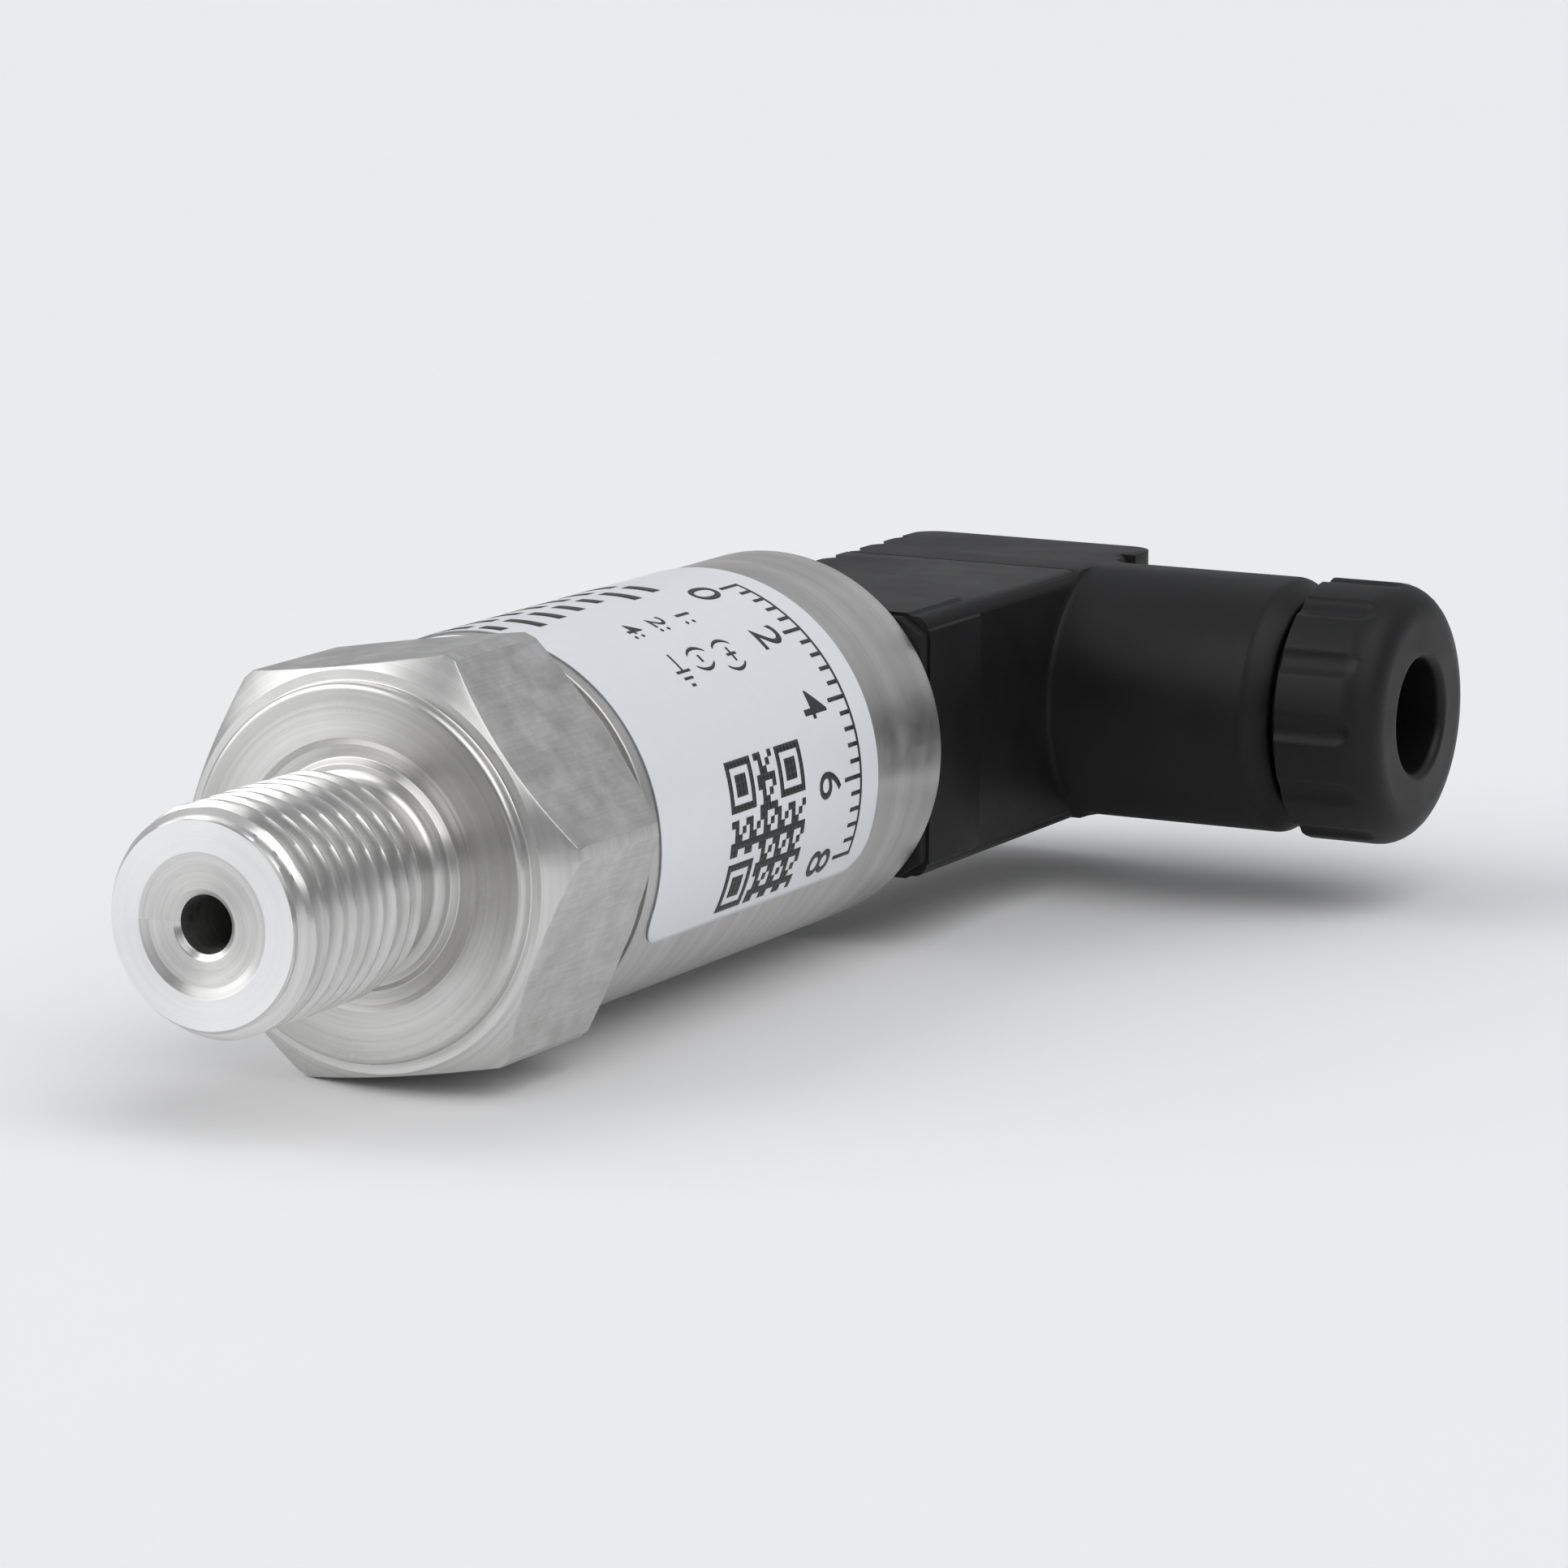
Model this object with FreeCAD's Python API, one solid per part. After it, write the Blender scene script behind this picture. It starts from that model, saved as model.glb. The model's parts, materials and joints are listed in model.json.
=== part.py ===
import FreeCAD, Part
import math
import os

# Pressure transmitter with a right-angle plug.
# The main axis is +Y, from the threaded end to the plug. The cable outlet points to +X.
# The origin is on the main axis, at the middle of the process thread's full-form length.
# All sizes are in millimetres.

V = FreeCAD.Vector
X_AXIS = V(1, 0, 0)
Y_AXIS = V(0, 1, 0)
DOWN = V(0, 0, -1)

# ---------------------------------------------------------------- driving dimensions

# process connection
thread_diameter = 14.0
thread_length = 11.75
end_chamfer_length = 1.25
end_face_diameter = 12.4
port_diameter = 3.5
port_countersink = 0.35
undercut_diameter = 11.7
undercut_length = 3.3
lip_fillet = 0.6
lip_width = 0.35
lip_height = 0.3
lip_groove_depth = 0.25
lip_groove_rise = 0.1
lip_groove_width = 1.1
lip_groove_edge = 0.4
lip_flank = 0.3
collar_diameter = 23.2
collar_height = 0.9
collar_edge_radius = 0.4
hex_across_flats = 25.0
hex_turned_diameter = 28.5
hex_face_diameter = 24.6
hex_chamfer_length = 1.5
hex_length = 12.1
hex_rear_chamfer_length = 0.95
hex_rear_diameter = 24.9
hex_rear_land = 0.25
hex_turn_deg = 8.5
weld_groove_width = 0.65
weld_groove_depth = 0.6

# added to a tool so that it passes the face it cuts or joins
overcut = 1.0
overlap = 0.1

# housing tube
housing_diameter = 25.0
housing_wall = 1.4
housing_length = 39.5
housing_rear_radius = 0.3
housing_front_radius = 0.15
rolled_lip_edge_radius = 0.2
rolled_lip_length = 0.8
rolled_lip_depth = 0.8
spigot_length = 5.6

# label
label_thickness = 0.12
label_front_gap = 1.15
label_length = 28.85
label_start_deg = -32.0
label_span_deg = 264.0
label_corner_radius = 2.2

# pressure cell and its fixings
cell_diameter = 18.0
cell_thickness = 6.35
cell_pocket_clearance = 0.25
cell_wall_clearance = 0.1
cell_front_chamfer = 0.2
cell_rear_chamfer = 0.3
diaphragm_thickness = 1.0
bond_line_depth = 0.2
bond_line_half = 0.1
seal_ring_diameter = 12.0
seal_cord_diameter = 1.8
seal_squeeze = 0.2
seal_side_clearance = 0.15
seal_roundness = 0.85
chamber_diameter = 9.0
chamber_depth = 0.5
clamp_ring_length = 2.9
clamp_ring_bore = 12.0
clamp_slot_width = 2.0
clamp_slot_depth = 1.2
clamp_setback = 0.1
lead_diameter = 0.7
lead_spacing = 2.54
lead_count = 4
lead_lap = 3.0

# electronics
board_rim_gap = 2.1
board_thickness = 1.6
board_offset = -2.6
board_front_gap = 1.5
board_slot_depth = 3.0
board_slot_clearance = 0.1
board_corner_radius = 1.0
board_edge_margin = 1.2
chip_size = (9.0, 7.0, 1.4)
part_size = (2.0, 3.2, 1.1)
part_gap = 1.3
parts_in_row = 3
coil_diameter = 6.0
coil_height = 3.2
coil_shift = 1.0

# connector base
base_length = 8.0
base_clearance = 0.05
base_seal_cord = 1.6
base_seal_squeeze = 0.15
base_seal_side_clearance = 0.1
base_seal_roundness = 0.84
base_edge_radius = 0.4
pin_circle_diameter = 8.0
pin_width = 2.8
pin_thickness = 0.5
pin_reach = 9.0
pin_tip_chamfer = 0.15
pin_tail = 2.5
insert_diameter = 4.8
insert_flange_diameter = 6.0
insert_flange_thickness = 0.6
insert_front_gap = 0.5
insert_floor = 0.8
insert_chamfer = 0.3

# plug hood
gasket_thickness = 0.9
gasket_clearance = 0.1
hood_length = 35.0
hood_height = 17.4
hood_outlet_side = 10.85
hood_rib_side = 7.2
hood_wall = 1.6
hood_rib_wall = 1.0
hood_rear_wall = 3.8
hood_long_edge_radius = 0.9
hood_rib_edge_radius = 0.15
rear_slab_length = 3.7
rear_slab_proud = 0.45
hood_rear_corner_radius = 2.0
seam_from_rear = 11.8
seam_width = 0.2
seam_depth = 0.15
skirt_length = 7.5
skirt_proud = 0.2
skirt_corner_chamfer = 1.7
skirt_chamfer_share = 0.65
rib_pitch = 3.66
rib_depth = 0.8
rib_count = 7
rib_end_length = 3.6
rib_crest_share = 0.45
rib_row_slope = 0.5
cavity_edge_radius = 0.6
ledge_height = 0.8
ledge_length = 3.0

# cable outlet
outlet_diameter = 17.5
outlet_axis_from_rear = 8.2
outlet_reach = 26.9
outlet_lip_length = 1.5
outlet_lip_depth = 1.1
outlet_lip_radius = 1.2
outlet_mouth_radius = 0.4
outlet_mouth_chamfer = 0.5
outlet_root_fillet = 0.5
outlet_seat_slope = 1.2
root_hollow = 0.3
root_inset = 0.02
gland_thread_diameter = 14.0
gland_seat_depth = 11.8
cable_passage_diameter = 9.0
thread_clearance = 0.05

# terminal insert and contacts
insert_block_length = 14.0
insert_block_outlet_side = 6.4
insert_block_clearance = 0.15
insert_block_front_gap = 0.3
insert_front_wall = 1.0
insert_relief_clearance = 0.5
insert_relief_depth = 0.4
contact_width = 3.6
contact_depth = 1.5
contact_length = 9.5
contact_block_size = 3.8
contact_block_depth = 2.5
blade_clearance = 0.15
blade_window_clearance = 0.3
contact_clearance = 0.05
contact_bridge = 0.8
terminal_head_diameter = 2.4
terminal_head_height = 1.2
terminal_slot_width = 0.5
terminal_slot_depth = 0.6

# centre screw
centre_screw_diameter = 2.5
centre_screw_engagement = 4.2
centre_head_diameter = 5.0
centre_head_height = 2.2
centre_head_radius = 0.35
centre_slot_width = 0.8
centre_slot_depth = 1.1
centre_tip_chamfer = 0.4
head_recess_diameter = 6.2
head_recess_depth = 2.4
washer_thickness = 0.6
washer_diameter = 5.6
washer_edge_radius = 0.15
screw_clearance = 0.08
screw_hole_clearance = 0.4

# gland
grommet_length = 4.2
grommet_bore = 6.6
grommet_clearance = 0.05
grommet_seat_gap = 0.6
grommet_front_chamfer = 0.5
grommet_front_slope = 0.3
grommet_mouth_chamfer = 0.6
gland_ring_thickness = 1.0
gland_ring_clearance = 0.1
gland_ring_edge_radius = 0.2
gland_stub_chamfer = 0.6
gland_gap = 0.4
gland_nut_diameter = 17.8
gland_nut_length = 7.5
gland_nut_bore = 7.8
gland_mouth_radius = 0.6
gland_front_radius = 2.4
gland_rear_chamfer = 0.5
flute_count = 12
flute_radius = 1.6
flute_depth = 0.35
flute_front_margin = 2.5
ring_gap = 0.1

# ---------------------------------------------------------------- stations along the main axis

end_y = -(thread_length / 2 + end_chamfer_length)
thread_rear_y = thread_length / 2
face_y = thread_rear_y + undercut_length + lip_fillet
hex_front_y = face_y + collar_height
hex_rear_y = hex_front_y + hex_length
land_rear_y = hex_rear_y + hex_rear_land
housing_front_y = land_rear_y + weld_groove_width
housing_rear_y = housing_front_y + housing_length
spigot_rear_y = housing_front_y + spigot_length
clamp_rear_y = spigot_rear_y - clamp_setback
clamp_front_y = clamp_rear_y - clamp_ring_length
cell_front_y = clamp_front_y - cell_thickness
base_rear_y = housing_rear_y - rolled_lip_length
base_front_y = base_rear_y - base_length
platform_y = housing_rear_y
gasket_y = housing_rear_y + gasket_clearance
hood_y = gasket_y + gasket_thickness
hood_rear_y = hood_y + hood_length
recess_floor_y = hood_rear_y - head_recess_depth
outlet_y = hood_rear_y - outlet_axis_from_rear
seam_y = hood_rear_y - seam_from_rear
slab_y = hood_rear_y - rear_slab_length
block_front_y = platform_y + insert_block_front_gap
block_rear_y = block_front_y + insert_block_length
sleeve_y = block_front_y + insert_front_wall
sleeve_rear_y = sleeve_y + contact_length
insert_y = base_front_y + board_slot_depth + insert_front_gap

# stations along the outlet's axis
outlet_seat_x = outlet_reach - gland_seat_depth
grommet_end_x = outlet_seat_x + grommet_length
ring_x = grommet_end_x + ring_gap
ring_end_x = ring_x + gland_ring_thickness
stub_x = ring_end_x + ring_gap
nut_x = outlet_reach + gland_gap
nut_end_x = nut_x + gland_nut_length

housing_inner_radius = housing_diameter / 2 - housing_wall
board_width = 2 * (housing_inner_radius - board_rim_gap)
cavity_half_height = hood_height / 2 - hood_wall
cavity_rib_side = hood_rib_side - rib_depth - hood_rib_wall
cavity_outlet_side = hood_outlet_side - hood_wall
cavity_rear_y = hood_rear_y - hood_rear_wall
screw_hole_diameter = centre_screw_diameter + 2 * screw_hole_clearance
contact_outer_radius = (pin_circle_diameter + contact_depth) / 2


# ---------------------------------------------------------------- helpers

def rounded_wire(points, radii=None):
    """Closed wire through the points; radii gives a corner's radius by its index."""
    radii = radii or {}
    corners = []
    for i, point in enumerate(points):
        radius = radii.get(i, 0)
        if not radius:
            corners.append((point, None, point))
            continue
        to_last = (points[i - 1] - point).normalize()
        to_next = (points[(i + 1) % len(points)] - point).normalize()
        half = to_last.getAngle(to_next) / 2
        reach = radius / math.tan(half)
        bisector = (to_last + to_next).normalize()
        middle = point + bisector * (radius / math.sin(half) - radius)
        corners.append((point + to_last * reach, middle, point + to_next * reach))
    edges = []
    for i, (start, middle, end) in enumerate(corners):
        if middle:
            edges.append(Part.Arc(start, middle, end).toShape())
        following = corners[(i + 1) % len(corners)][0]
        if end.distanceToPoint(following) > 1e-6:
            edges.append(Part.LineSegment(end, following).toShape())
    return Part.Wire(edges)


def turned(points, radii=None):
    """Solid of revolution about the main axis; each point is (radius, y)."""
    wire = rounded_wire([V(r, y, 0) for r, y in points], radii)
    return Part.Face(wire).revolve(V(0, 0, 0), Y_AXIS, 360)


def turned_on_outlet(points, radii=None):
    """Solid of revolution about the outlet's axis; each point is (x, radius)."""
    wire = rounded_wire([V(x, outlet_y + r, 0) for x, r in points], radii)
    return Part.Face(wire).revolve(V(0, outlet_y, 0), X_AXIS, 360)


def rod(diameter, y_start, y_end, x=0.0, z=0.0):
    """Cylinder along the main axis."""
    return Part.makeCylinder(diameter / 2, y_end - y_start, V(x, y_start, z), Y_AXIS)


def box(x0, x1, y0, y1, z0, z1):
    return Part.makeBox(x1 - x0, y1 - y0, z1 - z0, V(x0, y0, z0))


def around(shape, turns):
    """Copies of a shape turned about the main axis, one for each angle."""
    copies = []
    for angle in turns:
        copy = shape.copy()
        copy.rotate(V(0, 0, 0), Y_AXIS, -angle)
        copies.append(copy)
    return copies


# ---------------------------------------------------------------- process connection

def hex_prism(y_start, y_end):
    """Hexagon across the flats, turned about the main axis."""
    corner_radius = hex_across_flats / 2 / math.cos(math.radians(30))
    corners = []
    for i in range(6):
        angle = math.radians(hex_turn_deg + 60 * i)
        corners.append(V(corner_radius * math.cos(angle), y_start, corner_radius * math.sin(angle)))
    return Part.Face(rounded_wire(corners)).extrude(V(0, y_end - y_start, 0))


def process_connection():
    thread_radius = thread_diameter / 2
    root_radius = undercut_diameter / 2
    lip_radius = root_radius + lip_fillet
    lip_y = face_y - lip_height
    groove_radius = lip_radius + lip_width + lip_groove_width
    collar_radius = collar_diameter / 2
    runout = thread_radius - root_radius
    nose = turned([
        (0, end_y), (end_face_diameter / 2, end_y), (thread_radius, end_y + end_chamfer_length),
        (thread_radius, thread_rear_y), (root_radius, thread_rear_y + runout),
        (root_radius, lip_y), (lip_radius + lip_width, lip_y),
        (lip_radius + lip_width + lip_flank, face_y + lip_groove_depth),
        (groove_radius, face_y + lip_groove_depth - lip_groove_rise),
        (groove_radius + lip_groove_edge, face_y),
        (collar_radius, face_y), (collar_radius, hex_front_y + overlap), (0, hex_front_y + overlap)],
        {5: lip_fillet, 10: collar_edge_radius})
    turned_radius = hex_turned_diameter / 2
    blank = turned([
        (0, hex_front_y), (hex_face_diameter / 2, hex_front_y),
        (turned_radius, hex_front_y + hex_chamfer_length),
        (turned_radius, hex_rear_y - hex_rear_chamfer_length), (hex_rear_diameter / 2, hex_rear_y),
        (hex_rear_diameter / 2, land_rear_y), (0, land_rear_y)])
    hexagon = blank.common(hex_prism(hex_front_y - overcut, land_rear_y + overcut))
    groove_floor = housing_diameter / 2 - weld_groove_depth
    spigot_radius = housing_inner_radius - base_clearance
    spigot = turned([
        (0, land_rear_y - overlap), (groove_floor, land_rear_y - overlap), (groove_floor, housing_front_y),
        (spigot_radius, housing_front_y), (spigot_radius, spigot_rear_y), (0, spigot_rear_y)])
    body = nose.fuse(hexagon).fuse(spigot)
    pocket_radius = cell_diameter / 2 + cell_pocket_clearance
    seal_depth = seal_cord_diameter - seal_squeeze
    seal_half = seal_cord_diameter / 2 + seal_side_clearance
    seal_radius = seal_ring_diameter / 2
    port_radius = port_diameter / 2
    hollow = turned([
        (0, end_y - overcut), (port_radius + port_countersink + overcut, end_y - overcut),
        (port_radius, end_y + port_countersink), (port_radius, cell_front_y - chamber_depth),
        (chamber_diameter / 2, cell_front_y - chamber_depth), (chamber_diameter / 2, cell_front_y),
        (seal_radius - seal_half, cell_front_y), (seal_radius - seal_half, cell_front_y - seal_depth),
        (seal_radius + seal_half, cell_front_y - seal_depth), (seal_radius + seal_half, cell_front_y),
        (pocket_radius, cell_front_y), (pocket_radius, spigot_rear_y + overcut),
        (0, spigot_rear_y + overcut)])
    return body.cut(hollow).removeSplitter()


# ---------------------------------------------------------------- pressure cell and electronics

def cell_seal():
    """Cord ring, pressed a little flat between its groove and the cell."""
    depth = seal_cord_diameter - seal_squeeze
    half_depth = depth / 2
    y = cell_front_y - half_depth
    width = seal_cord_diameter / 2
    radius = seal_ring_diameter / 2
    return turned([
        (radius - width, y - half_depth), (radius + width, y - half_depth),
        (radius + width, y + half_depth), (radius - width, y + half_depth)],
        {i: half_depth * seal_roundness for i in range(4)})


def pressure_cell():
    """Thick ceramic disc with a thinner diaphragm disc bonded on its front."""
    radius = cell_diameter / 2
    rear = cell_front_y + cell_thickness
    bond_y = cell_front_y + diaphragm_thickness
    return turned([
        (0, cell_front_y), (radius - cell_front_chamfer, cell_front_y),
        (radius, cell_front_y + cell_front_chamfer), (radius, bond_y - bond_line_half),
        (radius - bond_line_depth, bond_y), (radius, bond_y + bond_line_half),
        (radius, rear - cell_rear_chamfer), (radius - cell_rear_chamfer, rear), (0, rear)])


def cell_clamp_ring():
    ring_radius = cell_diameter / 2 + cell_pocket_clearance - cell_wall_clearance
    bore_radius = clamp_ring_bore / 2
    ring = turned([
        (bore_radius, clamp_front_y), (ring_radius, clamp_front_y),
        (ring_radius, clamp_rear_y), (bore_radius, clamp_rear_y)])
    reach = ring_radius + overcut
    half = clamp_slot_width / 2
    slot = box(-reach, reach, clamp_rear_y - clamp_slot_depth, clamp_rear_y + overcut, -half, half)
    return ring.cut(slot)


board_front_y = clamp_rear_y + board_front_gap
board_rear_y = base_front_y + board_slot_depth


def cell_leads():
    """Round leads that stand on the cell and lie on the board's top face."""
    lead_z = board_offset + board_thickness / 2 + lead_diameter / 2
    cell_rear_y = cell_front_y + cell_thickness
    leads = []
    for i in range(lead_count):
        x = (i - (lead_count - 1) / 2) * lead_spacing
        leads.append(rod(lead_diameter, cell_rear_y, board_front_y + lead_lap, x, lead_z))
    return Part.makeCompound(leads)


def circuit_board():
    half = board_width / 2
    outline = [V(-half, board_front_y, 0), V(half, board_front_y, 0),
               V(half, board_rear_y, 0), V(-half, board_rear_y, 0)]
    wire = rounded_wire(outline, {0: board_corner_radius, 1: board_corner_radius})
    board = Part.Face(wire).extrude(V(0, 0, board_thickness))
    board.translate(V(0, 0, board_offset - board_thickness / 2))
    return board


def board_components():
    """One chip and two rows of small parts on the board's top face, a coil below."""
    top = board_offset + board_thickness / 2
    chip_x, chip_y, chip_z = chip_size
    middle_y = (board_front_y + base_front_y) / 2
    chip = box(-chip_x / 2, chip_x / 2, middle_y - chip_y / 2, middle_y + chip_y / 2, top, top + chip_z)
    parts = [chip]
    part_x, part_y, part_z = part_size
    for side in (-1, 1):
        x = side * (board_width / 2 - board_edge_margin - part_x / 2)
        for i in range(parts_in_row):
            y = middle_y + (i - (parts_in_row - 1) / 2) * (part_y + part_gap)
            parts.append(box(x - part_x / 2, x + part_x / 2, y - part_y / 2, y + part_y / 2,
                             top, top + part_z))
    coil = Part.makeCylinder(coil_diameter / 2, coil_height,
                             V(0, middle_y + coil_shift, top - board_thickness), DOWN)
    parts.append(coil)
    return Part.makeCompound(parts)


# ---------------------------------------------------------------- housing tube and label

def housing_tube():
    outer = housing_diameter / 2
    inner = housing_inner_radius
    lip_inner = inner - rolled_lip_depth
    return turned([
        (inner, housing_front_y), (outer, housing_front_y), (outer, housing_rear_y),
        (lip_inner, housing_rear_y), (lip_inner, base_rear_y), (inner, base_rear_y)],
        {1: housing_front_radius, 2: housing_rear_radius, 3: rolled_lip_edge_radius})


def type_label():
    """Thin sleeve sector with rounded corners."""
    inner = housing_diameter / 2
    outer = inner + label_thickness
    front = housing_front_y + label_front_gap
    rear = front + label_length
    section = [V(inner, front, 0), V(outer, front, 0), V(outer, rear, 0), V(inner, rear, 0)]
    sleeve = Part.Face(rounded_wire(section)).revolve(V(0, 0, 0), Y_AXIS, -label_span_deg)
    sleeve.rotate(V(0, 0, 0), Y_AXIS, -label_start_deg)
    cutters = []
    radius = label_corner_radius
    for angle, side in ((label_start_deg, 1), (label_start_deg + label_span_deg, -1)):
        for y, inward in ((front, 1), (rear, -1)):
            corner = box(inner - overcut, outer + overcut, min(y, y + inward * radius),
                         max(y, y + inward * radius), min(0, side * radius), max(0, side * radius))
            round_part = Part.makeCylinder(radius, outer - inner + 4 * overcut,
                                           V(inner - 2 * overcut, y + inward * radius, side * radius), X_AXIS)
            cutter = corner.cut(round_part)
            cutter.rotate(V(0, 0, 0), Y_AXIS, -angle)
            cutters.append(cutter)
    for cutter in cutters:
        sleeve = sleeve.cut(cutter)
    return sleeve


# ---------------------------------------------------------------- connector base

PIN_ANGLES = (0, 90, 270)
EARTH_ANGLE = 180


def blade(thickness, width, y_start, y_end):
    """Flat blade beside the main axis, its broad face towards the axis."""
    radius = pin_circle_diameter / 2
    return box(radius - thickness / 2, radius + thickness / 2, y_start, y_end, -width / 2, width / 2)


def pin():
    tip_y = platform_y + pin_reach
    body = blade(pin_thickness, pin_width, base_front_y - pin_tail, tip_y)
    tip_edges = [edge for edge in body.Edges
                 if edge.BoundBox.YMin > tip_y - 1e-6 and edge.BoundBox.ZLength > pin_width / 2]
    return body.makeChamfer(pin_tip_chamfer, tip_edges)


def connector_base():
    radius = housing_inner_radius - base_clearance
    lip_radius = housing_inner_radius - rolled_lip_depth - base_clearance
    groove_depth = base_seal_cord - base_seal_squeeze - base_clearance
    groove_half = base_seal_cord / 2 + base_seal_side_clearance
    groove_y = (base_front_y + base_rear_y) / 2
    body = turned([
        (0, base_front_y), (radius, base_front_y), (radius, groove_y - groove_half),
        (radius - groove_depth, groove_y - groove_half), (radius - groove_depth, groove_y + groove_half),
        (radius, groove_y + groove_half), (radius, base_rear_y), (lip_radius, base_rear_y),
        (lip_radius, platform_y), (0, platform_y)], {1: base_edge_radius})
    half_slot = board_thickness / 2 + board_slot_clearance
    half_width = board_width / 2 + board_slot_clearance
    slot = box(-half_width, half_width, base_front_y - overcut, board_rear_y,
               board_offset - half_slot, board_offset + half_slot)
    body = body.cut(slot)
    hole = blade(pin_thickness, pin_width, base_front_y - overcut, platform_y + overcut)
    for turned_hole in around(hole, PIN_ANGLES + (EARTH_ANGLE,)):
        body = body.cut(turned_hole)
    flange_y = platform_y - insert_flange_thickness
    body = body.cut(rod(insert_diameter, insert_y, platform_y + overcut))
    return body.cut(rod(insert_flange_diameter, flange_y, platform_y + overcut))


def base_seal():
    radius = housing_inner_radius
    depth = base_seal_cord - base_seal_squeeze
    y = (base_front_y + base_rear_y) / 2
    half = base_seal_cord / 2
    return turned([
        (radius - depth, y - half), (radius, y - half), (radius, y + half), (radius - depth, y + half)],
        {i: depth / 2 * base_seal_roundness for i in range(4)})


def threaded_insert():
    flange_y = platform_y - insert_flange_thickness
    bore = centre_screw_diameter / 2 + thread_clearance
    outer = insert_diameter / 2
    flange = insert_flange_diameter / 2
    return turned([
        (0, insert_y), (outer, insert_y), (outer, flange_y), (flange, flange_y), (flange, platform_y),
        (bore + insert_chamfer, platform_y), (bore, platform_y - insert_chamfer),
        (bore, insert_y + insert_floor), (0, insert_y + insert_floor)])


# ---------------------------------------------------------------- plug hood

def section_prism(y_start, y_end, proud=0.0, outlet_proud=0.0, chamfer=0.0,
                  rib_radius=0.0, outlet_radius=0.0):
    """The hood's cross-section along the main axis, grown by proud on every side."""
    x0, x1 = -hood_rib_side - proud, hood_outlet_side + proud + outlet_proud
    z1 = hood_height / 2 + proud
    if chamfer:
        deep = chamfer * skirt_chamfer_share
        points = [V(x0 + chamfer, y_start, -z1), V(x1 - chamfer, y_start, -z1), V(x1, y_start, -z1 + deep),
                  V(x1, y_start, z1 - deep), V(x1 - chamfer, y_start, z1), V(x0 + chamfer, y_start, z1),
                  V(x0, y_start, z1 - deep), V(x0, y_start, -z1 + deep)]
        wire = rounded_wire(points)
    else:
        points = [V(x0, y_start, -z1), V(x1, y_start, -z1), V(x1, y_start, z1), V(x0, y_start, z1)]
        wire = rounded_wire(points, {0: rib_radius, 1: outlet_radius, 2: outlet_radius, 3: rib_radius})
    return Part.Face(wire).extrude(V(0, y_end - y_start, 0))


def side_prism():
    """The hood's side view, with the row of grip ribs down its back, through its full height."""
    z0 = -hood_height
    rib_x = -hood_rib_side
    notch_x = rib_x + rib_depth
    rib_rear_y = hood_rear_y - rib_end_length
    ribs_y = rib_rear_y - rib_pitch * rib_count
    corner = hood_rear_corner_radius
    diagonal = corner * (1 - math.sqrt(0.5))
    edges = []
    here = V(rib_x, hood_y, z0)

    def line_to(x, y):
        nonlocal here
        there = V(x, y, z0)
        edges.append(Part.LineSegment(here, there).toShape())
        here = there

    def arc_to(mid_x, mid_y, x, y):
        nonlocal here
        there = V(x, y, z0)
        edges.append(Part.Arc(here, V(mid_x, mid_y, z0), there).toShape())
        here = there

    line_to(rib_x, ribs_y - rib_row_slope)
    line_to(notch_x, ribs_y)
    for i in range(rib_count):
        y = ribs_y + i * rib_pitch
        arc_to(rib_x, y + rib_pitch * rib_crest_share, notch_x, y + rib_pitch)
    line_to(rib_x, rib_rear_y + rib_row_slope)
    line_to(rib_x, hood_rear_y - corner)
    arc_to(rib_x + diagonal, hood_rear_y - diagonal, rib_x + corner, hood_rear_y)
    slab_x = hood_outlet_side + rear_slab_proud
    line_to(slab_x - corner, hood_rear_y)
    arc_to(slab_x - diagonal, hood_rear_y - diagonal, slab_x, hood_rear_y - corner)
    line_to(slab_x, slab_y)
    line_to(hood_outlet_side, slab_y)
    line_to(hood_outlet_side, hood_y)
    line_to(rib_x, hood_y)
    return Part.Face(Part.Wire(edges)).extrude(V(0, 0, 2 * hood_height))


def outlet_tube():
    """Round outlet with a rounded lip, and a fillet where it leaves the hood's side."""
    radius = outlet_diameter / 2
    lip_x = outlet_reach - outlet_lip_length
    tube = turned_on_outlet([
        (0, 0), (0, radius), (lip_x, radius), (outlet_reach, radius - outlet_lip_depth),
        (outlet_reach, 0)], {2: outlet_lip_radius, 3: outlet_mouth_radius})
    flare = outlet_root_fillet
    root = turned_on_outlet([
        (0, 0), (0, radius + flare), (hood_outlet_side, radius + flare),
        (hood_outlet_side + flare * root_hollow, radius + flare * root_hollow),
        (hood_outlet_side + flare, radius),
        (hood_outlet_side + flare, 0)])
    half = hood_height / 2 - root_inset
    limits = box(0, outlet_reach, hood_y, hood_rear_y - root_inset, -half, half)
    return tube.fuse(root.common(limits))


def hood_hollow():
    """Everything that is open inside the hood."""
    cavity = section_box(cavity_half_height, -cavity_rib_side, cavity_outlet_side,
                         hood_y - overcut, cavity_rear_y)
    bore = gland_thread_diameter / 2 + thread_clearance
    passage = cable_passage_diameter / 2
    outlet_bore = turned_on_outlet([
        (cavity_outlet_side - overcut, 0), (cavity_outlet_side - overcut, passage),
        (outlet_seat_x - outlet_seat_slope, passage), (outlet_seat_x, bore),
        (outlet_reach - outlet_mouth_chamfer, bore), (outlet_reach, bore + outlet_mouth_chamfer),
        (outlet_reach + overcut, bore + outlet_mouth_chamfer), (outlet_reach + overcut, 0)])
    screw_hole = rod(screw_hole_diameter, cavity_rear_y - overcut, hood_rear_y + overcut)
    recess = rod(head_recess_diameter, recess_floor_y, hood_rear_y + overcut)
    return cavity.fuse(outlet_bore).fuse(screw_hole).fuse(recess)


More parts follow.
